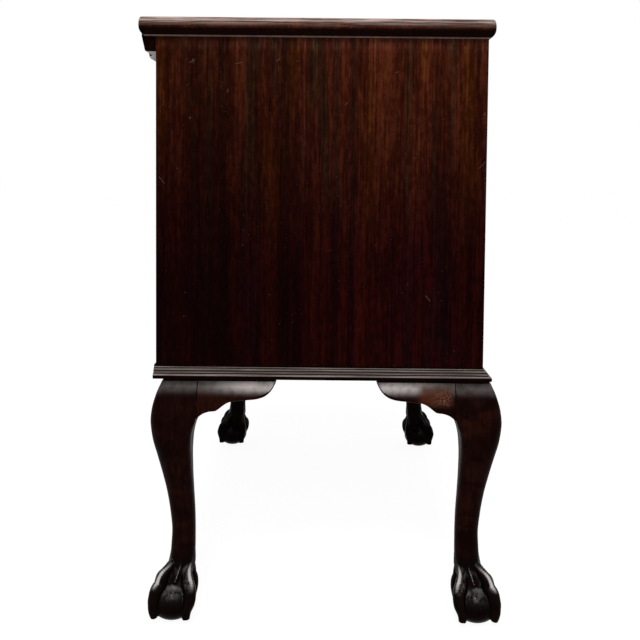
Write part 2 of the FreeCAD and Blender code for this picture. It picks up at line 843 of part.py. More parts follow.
def build():
    """Every piece of the chest by its name, each as one solid or a list of separate solids."""
    pieces = {}
    side_holes = base_dowels(screw_clearance)
    leg_holes = leg_screws(screw_clearance)
    top_holes = top_screws(screw_clearance)
    back_holes = back_screws(screw_clearance)

    pieces["top_board"] = cut_all(top_board(), top_holes)
    pieces["frieze_moulding"] = frieze_moulding()
    pieces["top_front_rail"] = cut_all(top_front_rail(), top_holes)
    pieces["top_rear_rail"] = cut_all(top_rear_rail(), top_holes + back_holes)
    pieces["top_kickers"] = top_kickers()
    pieces["upper_divider"] = divider(upper_divider_z)
    pieces["lower_divider"] = divider(lower_divider_z)
    pieces["drawer_runners"] = drawer_runners()
    pieces["drawer_stops"] = drawer_stops()
    pieces["back_boards"] = [cut_all(board, back_holes) for board in back_boards()]

    let_in = [top_front_rail(), top_rear_rail(), divider(upper_divider_z), divider(lower_divider_z)]
    let_in += drawer_runners() + back_boards()
    side = case_side(let_in)
    for name, board in (("left", mirrored(side)), ("right", side)):
        pieces["case_side_" + name] = cut_all(board, side_holes + back_holes)

    panel = dust_panel()
    rail = base_rail_side().cut(panel)
    for name, piece in (("left", mirrored(rail)), ("right", rail)):
        pieces["base_rail_" + name] = cut_all(piece, side_holes + leg_holes)
    pieces["base_rail_rear"] = cut_all(base_rail_rear().cut(panel), leg_holes)
    pieces["base_rail_front"] = base_rail_front().cut(panel)
    pieces["dust_panel"] = panel
    pieces["base_dowels"] = base_dowels()

    leg = corner_leg()
    bracket = knee_bracket()
    pad = leg_pad()
    block = glue_block()
    pads = []
    blocks = []
    for name, (side_x, side_y) in leg_places.items():
        pieces["leg_" + name] = cut_all(at_corner(leg, side_x, side_y), leg_holes)
        pieces["knee_brackets_" + name] = [at_corner(bracket, side_x, side_y),
                                           at_corner(across(bracket), side_x, side_y)]
        pads.append(cut_all(at_corner(pad, side_x, side_y), leg_holes))
        blocks += [at_corner(block, side_x, side_y), at_corner(across(block), side_x, side_y)]
    pieces["leg_pads"] = pads
    pieces["glue_blocks"] = blocks
    pieces["leg_screws"] = leg_screws()
    pieces["top_screws"] = top_screws()
    pieces["back_screws"] = back_screws()

    for name in drawers:
        for part, shape in drawer_box(name).items():
            pieces[name + "_drawer_" + part] = shape
        places = post_places(name)
        pieces[name + "_pull_plates"] = [pull_plate(side * pull_x, name) for side in (-1, 1)]
        posts = [pull_post(x, z) for x, z in places]
        pieces[name + "_pull_posts"] = posts + [post_nut(x, z) for x, z in places]
        for side, hand in ((-1, "left"), (1, "right")):
            pieces[name + "_bail_" + hand] = bail(side * pull_x, name)
    return pieces


def main():
    """Writes each piece to its own file, with the floor at Z 0 and the part centred over the origin."""
    pieces = {name: shape if isinstance(shape, list) else [shape] for name, shape in build().items()}
    whole = FreeCAD.BoundBox()
    for solids in pieces.values():
        for solid in solids:
            whole.add(solid.optimalBoundingBox(False))
    shift = V(-whole.Center.x, -whole.Center.y, -whole.ZMin)
    print("size", round(whole.XLength, 2), round(whole.YLength, 2), round(whole.ZLength, 2))
    print("front plane", round(front_y + shift.y, 4), "shift", [round(c, 4) for c in shift])
    for name, solids in pieces.items():
        group = Part.makeCompound(solids) if len(solids) > 1 else solids[0]
        group.translate(shift)
        group.exportStep("parts/" + name + ".step")


main()
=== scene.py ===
"""Looks of the block front chest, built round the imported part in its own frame, in metres."""
import json
import math
import re

import bmesh
import bpy
import numpy as np
from mathutils import Matrix, Vector

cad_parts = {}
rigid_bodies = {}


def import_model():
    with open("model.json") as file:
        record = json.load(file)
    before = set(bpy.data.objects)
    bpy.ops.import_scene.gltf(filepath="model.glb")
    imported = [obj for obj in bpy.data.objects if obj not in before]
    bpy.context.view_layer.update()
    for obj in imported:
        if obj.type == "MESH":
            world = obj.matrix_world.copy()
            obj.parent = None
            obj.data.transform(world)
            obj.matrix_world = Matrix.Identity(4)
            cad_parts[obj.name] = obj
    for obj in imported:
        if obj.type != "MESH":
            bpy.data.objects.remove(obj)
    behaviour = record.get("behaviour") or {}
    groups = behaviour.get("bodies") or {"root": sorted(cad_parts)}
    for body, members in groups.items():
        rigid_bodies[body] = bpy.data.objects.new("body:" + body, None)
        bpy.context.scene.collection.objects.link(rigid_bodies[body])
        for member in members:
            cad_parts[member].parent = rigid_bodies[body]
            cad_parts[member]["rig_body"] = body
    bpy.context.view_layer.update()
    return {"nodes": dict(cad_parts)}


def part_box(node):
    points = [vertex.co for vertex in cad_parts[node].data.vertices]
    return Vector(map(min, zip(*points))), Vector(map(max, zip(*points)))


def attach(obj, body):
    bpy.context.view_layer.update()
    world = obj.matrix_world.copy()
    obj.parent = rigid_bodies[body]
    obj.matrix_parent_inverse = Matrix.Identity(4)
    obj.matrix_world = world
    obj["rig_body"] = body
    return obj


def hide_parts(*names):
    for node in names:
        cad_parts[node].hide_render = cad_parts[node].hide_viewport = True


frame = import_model()
nodes = frame["nodes"]
MM = 0.001
DRAWERS = ("upper", "middle", "lower")

# Main planes of the part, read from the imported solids
side_lo, side_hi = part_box("case_side_right")
top_lo, top_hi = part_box("top_board")
CASE_HALF = side_hi.x
CASE_FRONT = side_lo.y
CASE_REAR = side_hi.y
CASE_BOTTOM = side_lo.z
TOP_BOTTOM = top_lo.z


# Shader helpers
class Net:
    """The node tree of a material or world, with short ways to add and join nodes."""

    def __init__(self, owner):
        owner.use_nodes = True
        self.tree = owner.node_tree
        self.tree.nodes.clear()

    def add(self, kind, *first, **named):
        """New node, with values or outputs for its first inputs and for those named."""
        node = self.tree.nodes.new(kind)
        for socket, value in zip(node.inputs, first):
            self.put(value, socket)
        for name, value in named.items():
            self.put(value, node.inputs[name])
        return node

    def put(self, value, socket):
        """Sets a socket to a value, or joins it to an output."""
        if isinstance(value, bpy.types.NodeSocket):
            self.tree.links.new(value, socket)
        elif isinstance(value, tuple) and len(value) == 3 and len(socket.default_value) == 4:
            socket.default_value = value + (1.0,)
        else:
            socket.default_value = value

    def math(self, operation, a, b=0.0, clamp=False):
        node = self.add("ShaderNodeMath", a, b)
        node.operation = operation
        node.use_clamp = clamp
        return node.outputs[0]


class Surface(Net):
    """A new material with one shader, and the place on the part that its patterns read."""

    def __init__(self, name):
        self.material = bpy.data.materials.new(name)
        super().__init__(self.material)
        self.shader = self.add("ShaderNodeBsdfPrincipled")
        self.add("ShaderNodeOutputMaterial", self.shader.outputs[0])
        self.place = self.add("ShaderNodeTexCoord").outputs["Object"]

    def times(self, a, b):
        return self.math("MULTIPLY", a, b)

    def plus(self, a, b, clamp=False):
        return self.math("ADD", a, b, clamp)

    def minus(self, a, b):
        return self.math("SUBTRACT", a, b)

    def spread(self, value, low, high, to_low=0.0, to_high=1.0):
        """Smooth step of a value between two limits."""
        node = self.add("ShaderNodeMapRange", value, low, high, to_low, to_high)
        node.interpolation_type = "SMOOTHSTEP"
        return node.outputs[0]

    def stretched(self, scale, offset):
        return self.add("ShaderNodeMapping", Vector=self.place, Location=offset, Scale=scale).outputs[0]

    def noise(self, vector, detail=2.0, rough=0.5, distort=0.0):
        node = self.add("ShaderNodeTexNoise", Vector=vector, Scale=1.0, Detail=detail, Roughness=rough,
                        Distortion=distort)
        return node.outputs["Fac"]

    def cloud(self, scale, offset=(0.0, 0.0, 0.0), **how):
        """Noise of one scale each way, per metre."""
        return self.noise(self.stretched((scale, scale, scale), offset), **how)

    def grained(self, grain, across, along, seed, **how):
        """Noise scaled to `across` per metre over the grain and `along` per metre down it."""
        scale = tuple(across if flag else along for flag in GRAIN[grain])
        return self.noise(self.stretched(scale, (seed * 1.73, seed * 2.91, seed * 0.37)), **how)

    def cells(self, vector, scale):
        """Distance to the nearest edge in a pattern of cells."""
        node = self.add("ShaderNodeTexVoronoi", Vector=vector, Scale=scale)
        node.feature = "DISTANCE_TO_EDGE"
        return node.outputs["Distance"]

    def ramp(self, value, stops):
        node = self.add("ShaderNodeValToRGB", value)
        items = node.color_ramp.elements
        while len(items) < len(stops):
            items.new(0.5)
        for item, (spot, colour) in zip(items, stops):
            item.position = spot
            item.color = colour + (1.0,)
        return node.outputs["Color"]

    def mix(self, share, a, b, blend="MIX"):
        node = self.add("ShaderNodeMix", share)
        node.data_type = "RGBA"
        node.blend_type = blend
        self.put(a, node.inputs[6])
        self.put(b, node.inputs[7])
        return node.outputs[2]

    def parts(self, vector):
        return self.add("ShaderNodeSeparateXYZ", vector).outputs

    def bump(self, height, strength, distance):
        node = self.add("ShaderNodeBump", Height=height, Strength=strength, Distance=distance)
        self.put(node.outputs[0], self.shader.inputs["Normal"])

    def attribute(self, name):
        node = self.add("ShaderNodeAttribute")
        node.attribute_name = name
        return node.outputs["Fac"]

    def finish(self, **values):
        for name, value in values.items():
            self.put(value, self.shader.inputs[name.replace("_", " ")])
        return self.material


WARM = (1.0, 0.62, 0.50)
GRAIN = {"x": (0, 1, 1), "y": (1, 0, 1), "z": (1, 1, 0)}


def facing_up(net):
    """How far a surface faces up, from -1 to 1."""
    return net.parts(net.add("ShaderNodeNewGeometry").outputs["Normal"])[2]


def darker(stops, depth):
    return [(spot, tuple(depth * part for part in colour)) for spot, colour in stops]


def mahogany(name, grain, seed, painted_falloff=None, scratches=(), gloss=0.36, depth=1.0, rise=(0.22, 0.50),
             painted_highlight=(0.24, 0.20, 0.185), blotch=0.5, stripes=()):
    """Varnished ribbon-stripe mahogany with streaks down the grain, pores, patina and small scratches.

    Edges turned up between the two shares of `rise` carry a painted grey highlight, and edges turned down are
    painted in shade.
    """
    net = Surface(name)
    broad = net.grained(grain, 9.0, 0.5, seed, detail=2.0)
    ribbon = net.grained(grain, 58.0, 3.2, seed + 1, detail=4.0, rough=0.62, distort=0.35)
    hue = net.grained(grain, 40.0, 1.7, seed + 5, detail=4.0, rough=0.62, distort=0.3)
    streak = net.grained(grain, 330.0, 12.0, seed + 2, detail=4.0, rough=0.65)
    mottle = net.grained(grain, 190.0, 90.0, seed + 7, detail=3.0, rough=0.6)
    pore = net.grained(grain, 640.0, 15.0, seed + 3, detail=2.0)
    tone = net.times(net.spread(broad, 0.36, 0.64), 0.20)
    for part, low, high, share in ((ribbon, 0.34, 0.66, 0.26), (streak, 0.36, 0.64, 0.30),
                                   (mottle, 0.34, 0.66, 0.26)):
        tone = net.plus(tone, net.times(net.spread(part, low, high), share))
    colour = net.ramp(tone, darker(WOOD_STOPS, depth))
    orange = net.ramp(tone, darker(ORANGE_STOPS, depth))
    grey = net.ramp(tone, darker(GREY_STOPS, depth))
    colour = net.mix(net.spread(hue, 0.50, 0.61, 0.0, 0.90), colour, orange)
    colour = net.mix(net.spread(hue, 0.47, 0.38, 0.0, 0.85), colour, grey)
    if stripes:
        y = net.plus(net.parts(net.place)[1], net.times(broad, 0.006))
        # The end is darker towards its front and towards its rear
        darker_ends = net.spread(y, SHADE_FROM, SHADE_TO, 0.55, 0.0)
        darker_ends = net.math("MAXIMUM", darker_ends, net.spread(y, REAR_FROM, REAR_TO, 0.0, 0.50))
        colour = net.mix(darker_ends, colour, SHADE, "MULTIPLY")
        for centre, half in stripes:
            gap = net.math("ABSOLUTE", net.minus(y, centre))
            band = net.times(net.spread(gap, half, half * 0.3), net.spread(ribbon, 0.25, 0.55))
            colour = net.mix(band, colour, STRIPE_SHADE, "MULTIPLY")
    lines = net.spread(pore, 0.56, 0.68)
    deep = tuple(min(depth, 1.0) * part for part in PORE_COLOUR)
    colour = net.mix(net.times(lines, 0.42), colour, deep)
    cloud = net.cloud(5.0, (seed, 0.0, seed), detail=4.0, rough=0.6)
    colour = net.mix(net.spread(cloud, 0.48, 0.72, 0.0, 0.35), colour, darker(WOOD_STOPS, depth)[0][1])
    # Painted shade: the end darkens downward
    if painted_falloff:
        low, high, shade = painted_falloff
        height = net.parts(net.place)[2]
        wobble = net.times(net.minus(cloud, 0.5), 0.16)
        share = net.spread(net.plus(height, wobble), low, high, 1.0, 0.0)
        colour = net.mix(share, colour, shade, "MULTIPLY")
        # Painted light: the strip of the end just under the top is lightened
        painted_light_share = net.spread(height, TOP_BOTTOM - PAINTED_LIGHT_FROM, TOP_BOTTOM - PAINTED_LIGHT_TO)
        colour = net.mix(painted_light_share, colour, PAINTED_LIGHT_TINT, "MULTIPLY")
    flecks = net.cloud(420.0, (seed, seed, 0.0), detail=1.0)
    sparse = net.cloud(28.0, (0.0, seed, seed), detail=1.0)
    dings = net.times(net.spread(flecks, 0.72, 0.80), net.spread(sparse, 0.52, 0.64))
    for start, end, width in scratches:
        dings = net.math("MAXIMUM", dings, line_mask(net, start, end, width))
    colour = net.mix(net.times(dings, 0.5), colour, DING_COLOUR)
    # Painted highlight: surfaces turned up get a lighter grey, broken into rows
    up = facing_up(net)
    wear_and_highlight = net.times(net.spread(up, rise[0], rise[1]), net.spread(up, 0.985, 0.90))
    rows = net.noise(net.stretched((14.0, 14.0, 700.0), (seed, seed, seed)), detail=4.0, rough=0.65)
    wear_and_highlight = net.times(wear_and_highlight, net.spread(rows, 0.40, 0.62, blotch, 1.0))
    colour = net.mix(wear_and_highlight, colour, painted_highlight)
    # Painted shade: surfaces turned down are darkened
    painted_shade_below = net.times(net.spread(up, 0.01, -0.16), net.spread(up, -0.98, -0.90))
    colour = net.mix(net.times(painted_shade_below, 0.94), colour, PAINTED_SHADE_COLOUR)
    haze = net.cloud(9.0, (seed, 0.0, 0.0), detail=4.0, rough=0.65)
    rough = net.plus(gloss, net.times(net.minus(haze, 0.5), 0.22))
    rough = net.plus(rough, net.times(lines, 0.12))
    relief = net.minus(net.times(streak, 0.35), lines)
    relief = net.minus(relief, net.times(dings, 1.5))
    net.bump(relief, 0.22, 0.0003)
    return net.finish(Base_Color=colour, Roughness=rough, Specular_IOR_Level=SPECULAR, Specular_Tint=WARM)


def line_mask(net, start, end, width):
    """1 on a short scratch between two (y, z) points of an upright face, 0 elsewhere."""
    y, z = net.parts(net.place)[1:3]
    run_y, run_z = end[0] - start[0], end[1] - start[1]
    length = run_y ** 2 + run_z ** 2
    from_y = net.minus(y, start[0])
    from_z = net.minus(z, start[1])
    share = net.plus(net.times(from_y, run_y / length), net.times(from_z, run_z / length), clamp=True)
    off_y = net.minus(from_y, net.times(share, run_y))
    off_z = net.minus(from_z, net.times(share, run_z))
    gap = net.math("SQRT", net.plus(net.math("POWER", off_y, 2.0), net.math("POWER", off_z, 2.0)))
    return net.spread(gap, width, width * 0.3)


def carved_mahogany(name, seed, painted_highlight, bracket=False, worn=None, lit_share=0.85):
    """Dark carved mahogany, blacker in its hollows and browner where worn, with a painted grey highlight on
    top and a painted sheen and painted highlights on the feet.

    `worn` gives the edges of a patch where the stain has gone; the last argument sets how strongly the
    painted highlights and sheen show on the feet, and a small value, as on the far legs, paints the feet
    darker as shade.
    """
    net = Surface(name)
    streak = net.grained("z", 210.0, 9.0, seed, detail=4.0, rough=0.6)
    broad = net.stretched((24.0, 24.0, 36.0), (seed, seed, 0.0))
    broad = net.noise(broad, detail=4.0, rough=0.6, distort=0.6)
    pore = net.grained("z", 1300.0, 55.0, seed + 2, detail=1.0)
    height = net.parts(net.place)[2]
    tone = net.times(net.spread(streak, 0.28, 0.72), 0.40)
    tone = net.plus(tone, net.times(net.spread(broad, 0.32, 0.68), 0.60))
    tone = net.minus(tone, net.spread(height, 0.29, 0.22, 0.0, 0.08))
    colour = net.ramp(tone, CARVED_STOPS)
    lines = net.spread(pore, 0.60, 0.72)
    colour = net.mix(net.times(lines, 0.45), colour, CARVED_PORE)
    # Near-black feet, painted darker still on the far legs as shade
    foot = net.spread(height, 0.112, 0.088)
    colour = net.mix(net.times(foot, 0.98 - 0.2 * lit_share), colour, FOOT_COLOUR)
    colour = net.mix(net.times(net.attribute("hollow"), 0.9), colour, HOLLOW_COLOUR)
    patchy = net.cloud(90.0, (seed, 0.0, 0.0), detail=3.0)
    wear_and_highlight = net.times(net.attribute("raised"), net.spread(patchy, 0.34, 0.64))
    colour = net.mix(net.times(wear_and_highlight, 0.35 * lit_share), colour, RUBBED_COLOUR)
    up = facing_up(net)
    # Painted sheen: grey streaks on the upward-turned parts of the feet
    streaks = net.noise(net.stretched((240.0, 240.0, 30.0), (seed, seed, 0.0)), detail=2.0)
    painted_sheen = net.times(foot, net.spread(up, 0.28, 0.70))
    painted_sheen = net.times(painted_sheen, net.spread(streaks, 0.38, 0.62))
    colour = net.mix(net.times(painted_sheen, 0.65 * lit_share), colour, PAINTED_SHEEN_COLOUR)
    ball = net.attribute("ball")
    # Painted highlight strips on the toes' backs
    crest_highlight = net.spread(net.attribute("crest_highlight"), 0.0, 1.0, 0.0, lit_share)
    colour = net.mix(crest_highlight, colour, CREST_HIGHLIGHT_COLOUR)
    # Painted highlight on the top of the ball
    dome_highlight = net.times(net.times(ball, net.spread(up, 0.62, 0.86)), lit_share)
    dome_highlight = net.times(dome_highlight, net.spread(patchy, 0.36, 0.62, 0.15, 1.0))
    colour = net.mix(dome_highlight, colour, DOME_HIGHLIGHT_COLOUR)
    # Painted highlight on the upward-turned tops of the knees and brackets
    painted_satin = net.times(net.spread(up, 0.26, 0.45), net.spread(height, 0.324, 0.343))
    painted_satin = net.times(painted_satin, net.spread(patchy, 0.25, 0.60, 0.60, 1.0))
    if bracket:
        painted_satin = net.times(painted_satin, net.spread(net.attribute("outer"), 0.05, 0.75, 0.22, 1.0))
    colour = net.mix(painted_satin, colour, painted_highlight)
    haze = net.cloud(26.0, (seed, 0.0, 0.0), detail=4.0, rough=0.6)
    rough = net.plus(0.40, net.times(net.minus(haze, 0.5), 0.25))
    rough = net.minus(rough, net.times(foot, 0.16))
    relief = net.minus(net.times(streak, 0.5), lines)
    if worn:
        cells = net.cells(net.stretched((1.0, 1.0, 0.55), (seed, 0.0, 0.0)), 330.0)
        cracks = net.spread(cells, 0.10, 0.03)
        patch = net.cloud(34.0, (seed, seed, 0.0), detail=2.0)
        patch = net.spread(patch, 0.45, 0.58)
        inside = 1.0
        for axis, edge, run in worn:
            inside = net.times(inside, net.spread(net.parts(net.place)[axis], edge, edge + run))
        colour = net.mix(net.times(inside, 0.80), colour, WORN_COLOUR)
        cracks = net.times(net.times(cracks, patch), inside)
        colour = net.mix(net.times(cracks, 0.5), colour, CRACK_COLOUR)
        relief = net.minus(relief, cracks)
    net.bump(relief, 0.25, 0.0003)
    polish = net.spread(height, 0.125, 0.085, 0.0, 0.035 * lit_share)
    polish = net.plus(net.times(ball, 0.075), polish)
    polish = net.times(net.spread(up, 0.0, 0.55), polish)
    return net.finish(Base_Color=colour, Roughness=rough, Specular_IOR_Level=SPECULAR, Specular_Tint=WARM,
                      Coat_Weight=polish, Coat_Roughness=0.15)


def plain_wood(name, grain, seed, dark, light):
    """Unvarnished secondary wood with growth lines, pores and dust."""
    net = Surface(name)
    bend = net.grained(grain, 6.0, 1.2, seed, detail=2.0)
    rings = net.grained(grain, 120.0, 2.2, seed + 1, detail=3.0, rough=0.6, distort=0.6)
    fine = net.grained(grain, 900.0, 22.0, seed + 2, detail=2.0)
    tone = net.times(net.spread(rings, 0.30, 0.70), 0.5)
    tone = net.plus(tone, net.times(net.spread(bend, 0.30, 0.70), 0.3))
    tone = net.plus(tone, net.times(fine, 0.25))
    colour = net.ramp(tone, [(0.2, dark), (0.8, light)])
    stain = net.cloud(7.0, (seed, 0.0, seed), detail=4.0, rough=0.65)
    colour = net.mix(net.spread(stain, 0.50, 0.76, 0.0, 0.30), colour, tuple(c * 0.45 for c in dark))
    net.bump(net.plus(fine, rings), 0.30, 0.0004)
    rough = net.plus(0.62, net.times(fine, 0.22))
    return net.finish(Base_Color=colour, Roughness=rough)


def aged_brass(name, seed):
    """Cast brass with brown tarnish in patches and in its hollows."""
    net = Surface(name)
    cloud = net.cloud(110.0, (seed, 0.0, 0.0), detail=5.0, rough=0.65)
    fine = net.cloud(900.0, (0.0, seed, 0.0), detail=2.0)
    colour = net.ramp(net.spread(cloud, 0.34, 0.70), BRASS_STOPS)
    colour = net.mix(net.times(net.attribute("hollow"), 0.85), colour, TARNISH)
    rough = net.plus(0.22, net.times(net.spread(cloud, 0.30, 0.75), 0.26))
    net.bump(fine, 0.12, 0.0001)
    return net.finish(Base_Color=colour, Roughness=rough, Metallic=1.0)


def dull_steel(name):
    """Grey steel with brown rust in patches."""
    net = Surface(name)
    cloud = net.cloud(240.0, detail=4.0)
    colour = net.ramp(cloud, STEEL_STOPS)
    rough = net.plus(0.35, net.times(cloud, 0.3))
    net.bump(cloud, 0.2, 0.0002)
    return net.finish(Base_Color=colour, Roughness=rough, Metallic=1.0)


# Colours of the varnished wood from dark to light streaks: red-brown, orange-brown and grey-brown
WOOD_STOPS = [(0.12, (0.0110, 0.0017, 0.0008)), (0.50, (0.0325, 0.0056, 0.0023)),
              (0.88, (0.0800, 0.0170, 0.0068))]
ORANGE_STOPS = [(0.12, (0.0165, 0.0036, 0.0007)), (0.50, (0.0430, 0.0098, 0.0019)),
                (0.88, (0.1050, 0.0275, 0.0050))]
GREY_STOPS = [(0.12, (0.0092, 0.0034, 0.0016)), (0.50, (0.0235, 0.0090, 0.0036)),
              (0.88, (0.0530, 0.0235, 0.0095))]
# Pore colour, and the painted shade of surfaces turned down
PORE_COLOUR, PAINTED_SHADE_COLOUR = (0.0055, 0.0014, 0.0010), (0.0024, 0.0008, 0.0007)
DING_COLOUR = (0.115, 0.075, 0.058)
SPECULAR = 0.012
# Carved wood: its own streaks, then its pores, feet, hollows and browner worn backs, the painted sheen on the
# feet, painted highlights on the toes and ball, and the worn patch and its cracks
CARVED_STOPS = [(0.12, (0.0042, 0.0010, 0.0008)), (0.50, (0.0080, 0.0021, 0.0018)),
                (0.92, (0.0180, 0.0044, 0.0024))]
CARVED_PORE = (0.003, 0.0012, 0.001)
FOOT_COLOUR, HOLLOW_COLOUR = (0.0019, 0.0012, 0.0010), (0.0012, 0.0008, 0.0007)
RUBBED_COLOUR, PAINTED_SHEEN_COLOUR = (0.032, 0.014, 0.009), (0.095, 0.088, 0.084)
CREST_HIGHLIGHT_COLOUR, DOME_HIGHLIGHT_COLOUR = (0.60, 0.58, 0.56), (0.105, 0.099, 0.096)
WORN_COLOUR, CRACK_COLOUR = (0.074, 0.0175, 0.0062), (0.17, 0.11, 0.08)
BRASS_STOPS = [(0.0, (0.60, 0.41, 0.15)), (0.60, (0.48, 0.31, 0.11)), (1.0, (0.25, 0.155, 0.058))]
TARNISH = (0.055, 0.034, 0.016)
STEEL_STOPS = [(0.35, (0.22, 0.20, 0.19)), (0.65, (0.09, 0.06, 0.045))]
# Dark stripes of the right end, as middle and half width, and its darker front and rear parts
STRIPES = ((-0.138, 0.009), (-0.052, 0.011), (0.019, 0.007), (0.043, 0.006))
STRIPE_SHADE, SHADE = (0.52, 0.72, 0.82), (0.52, 0.50, 0.50)
SHADE_FROM, SHADE_TO = -0.13, 0.03
REAR_FROM, REAR_TO = 0.150, 0.210
# Painted shade: heights between which an end darkens downward and its darkest tint; painted light: the paler
# strip just under the top
PAINTED_FALLOFF = (0.48, 0.87, (0.215, 0.098, 0.330))
PAINTED_LIGHT_FROM, PAINTED_LIGHT_TO, PAINTED_LIGHT_TINT = 0.022, 0.006, (1.6, 2.0, 2.8)
# Short scratches of the right end as start, end and half width, in (y, z)
SCRATCHES = (
    ((-0.1855, 0.7905), (-0.1790, 0.7945), 0.0009),
    ((-0.1805, 0.7895), (-0.1822, 0.7955), 0.0008),
    ((-0.1235, 0.7890), (-0.1140, 0.7915), 0.0007),
    ((-0.0665, 0.7935), (-0.0620, 0.7965), 0.0007),
    ((-0.1345, 0.7500), (-0.1330, 0.7540), 0.0008),
    ((-0.1860, 0.7140), (-0.1850, 0.7155), 0.0012),
    ((0.1430, 0.4710), (0.1490, 0.4640), 0.0008),
    ((0.2140, 0.6490), (0.2230, 0.6580), 0.0006),
    ((-0.2280, 0.6330), (-0.2210, 0.6240), 0.0006),
    ((0.0280, 0.7340), (0.0310, 0.7375), 0.0007),
    ((0.2195, 0.7225), (0.2210, 0.7245), 0.0012),
    ((0.0970, 0.7790), (0.1010, 0.7805), 0.0007),
)
SCRATCHES_LEFT = SCRATCHES[6:9]
# Varnished woods: the way of the grain, a seed for their patterns, and what differs from the usual
VARNISHED = {
    "side_right": ("z", 3.1, dict(painted_falloff=PAINTED_FALLOFF, scratches=SCRATCHES, depth=1.16, stripes=STRIPES)),
    "side_left": ("z", 8.4, dict(painted_falloff=PAINTED_FALLOFF, scratches=SCRATCHES_LEFT)),
    # The top's edge carries a stronger painted highlight
    "top": ("x", 5.2, dict(gloss=0.34, rise=(-0.06, 0.30), painted_highlight=(0.44, 0.335, 0.295), blotch=0.12)),
    "upper_front": ("x", 11.7, {}),
    "middle_front": ("x", 14.2, {}),
    "lower_front": ("x", 17.9, {}),
    "rails": ("x", 21.3, {}),
    "base_sides": ("y", 24.6, dict(depth=0.15)),
    "base_rear": ("x", 26.8, dict(depth=0.15)),
    # The frieze's near-black is painted shade under the top's overhang
    "frieze": ("x", 28.3, dict(depth=0.10)),
    # The pads and glue blocks are darkened as painted shade in the gap above the legs
    "pads": ("y", 31.9, dict(depth=0.25)),
}
MAHOGANY = {}
for name, (grain, seed, how) in VARNISHED.items():
    MAHOGANY[name] = mahogany("mahogany_" + name, grain, seed, **how)
# Colours of the painted highlight on the tops of the legs and of the brackets
LEG_HIGHLIGHT, BRACKET_HIGHLIGHT = (0.105, 0.090, 0.087), (0.62, 0.56, 0.54)
# How strongly near and far legs show their painted highlights and sheen; the far legs' feet are painted
# darker as shade
NEAR_LIT_SHARE, FAR_LIT_SHARE = 0.85, 0.03
# Edges of the worn patch: axis, place, and how far inward it comes in
WORN = ((1, 0.130, 0.014), (1, 0.187, -0.012), (2, 0.312, 0.014), (2, 0.346, -0.008))
SEEDS = {"front_left": 2.0, "front_right": 5.0, "rear_left": 9.0, "rear_right": 13.0}
CARVED, BRACKET = {}, {}
for corner, seed in SEEDS.items():
    lit_share = FAR_LIT_SHARE if corner.endswith("left") else NEAR_LIT_SHARE
    worn = WORN if corner == "rear_right" else None
    CARVED[corner] = carved_mahogany("carved_" + corner, seed, LEG_HIGHLIGHT, lit_share=lit_share)
    BRACKET[corner] = carved_mahogany("bracket_" + corner, seed + 0.5, BRACKET_HIGHLIGHT, True, worn)
# Plain woods: the way of the grain, a seed, and their dark and light colours
NEW_WOOD = (0.23, 0.145, 0.075), (0.43, 0.30, 0.17)
UNVARNISHED = {
    "x": ("x", 4.0, *NEW_WOOD),
    "y": ("y", 6.0, *NEW_WOOD),
    "z": ("z", 8.0, (0.15, 0.085, 0.045), (0.29, 0.185, 0.10)),
    "under_top": ("x", 10.0, (0.130, 0.085, 0.072), (0.240, 0.158, 0.134)),
    # The frieze's underside is a pale grey of painted light reflected from the floor
    "painted_light_under_frieze": ("x", 12.0, (0.42, 0.39, 0.36), (0.62, 0.59, 0.56)),
}
PALE = {name: plain_wood("plain_wood_" + name, *how) for name, how in UNVARNISHED.items()}
BRASS = aged_brass("aged_brass", 3.0)
STEEL = dull_steel("dull_steel")


# Material of each solid, by the first pattern that its name fits
DRESS = [("pull|bail", BRASS), ("screws$", STEEL), ("^(leg_pads|glue_blocks)$", MAHOGANY["pads"])]
DRESS += [("^(leg|knee_brackets)_%s$" % corner, CARVED[corner]) for corner in SEEDS]
DRESS += [("^%s_drawer_front$" % drawer, MAHOGANY[drawer + "_front"]) for drawer in DRAWERS]
DRESS += [("^case_%s$" % side, MAHOGANY[side]) for side in ("side_right", "side_left")]
DRESS += [("^top_board$", MAHOGANY["top"]), ("^base_rail_(left|right)$", MAHOGANY["base_sides"]),
          ("^(back_boards|base_dowels)$", PALE["z"]),
          ("^(drawer_runners|top_kickers)$|_drawer_side_", PALE["y"]),
          ("^(drawer_stops|top_rear_rail|dust_panel)$|_drawer_b", PALE["x"]), ("", MAHOGANY["rails"])]
for name, node in nodes.items():
    for spot in node.material_slots:
        spot.material = next(choice for pattern, choice in DRESS if re.search(pattern, name))


# Mesh helpers
def spline(points):
    """Smooth curve through (position, value) pairs, with no overshoot between them."""
    spots, values = np.array(sorted(points), dtype=float).T
    slopes = np.diff(values) / np.diff(spots)
    turns = np.concatenate(([slopes[0]], np.zeros(len(spots) - 2), [slopes[-1]]))
    for i in range(1, len(spots) - 1):
        before, after = slopes[i - 1], slopes[i]
        if before * after > 0:
            turns[i] = 2 * before * after / (before + after)

    def at(x):
        i = int(np.clip(np.searchsorted(spots, x) - 1, 0, len(spots) - 2))
        gap = spots[i + 1] - spots[i]
        t = min(max((x - spots[i]) / gap, 0.0), 1.0)
        start = (1 + 2 * t) * (1 - t) ** 2 * values[i] + t * (1 - t) ** 2 * gap * turns[i]
        return start + t * t * (3 - 2 * t) * values[i + 1] + t * t * (t - 1) * gap * turns[i + 1]

    return at


def loft(rings):
    """Points and faces of a closed skin through rings of equal count."""
    count = len(rings[0])
    last = (len(rings) - 1) * count
    points = [tuple(p) for ring in rings for p in ring]
    faces = []
    for k in range(0, last, count):
        for i in range(count):
            j = (i + 1) % count
            faces.append((k + i, k + j, k + count + j, k + count + i))
    faces.append(tuple(reversed(range(count))))
    faces.append(tuple(range(last, last + count)))
    return points, faces


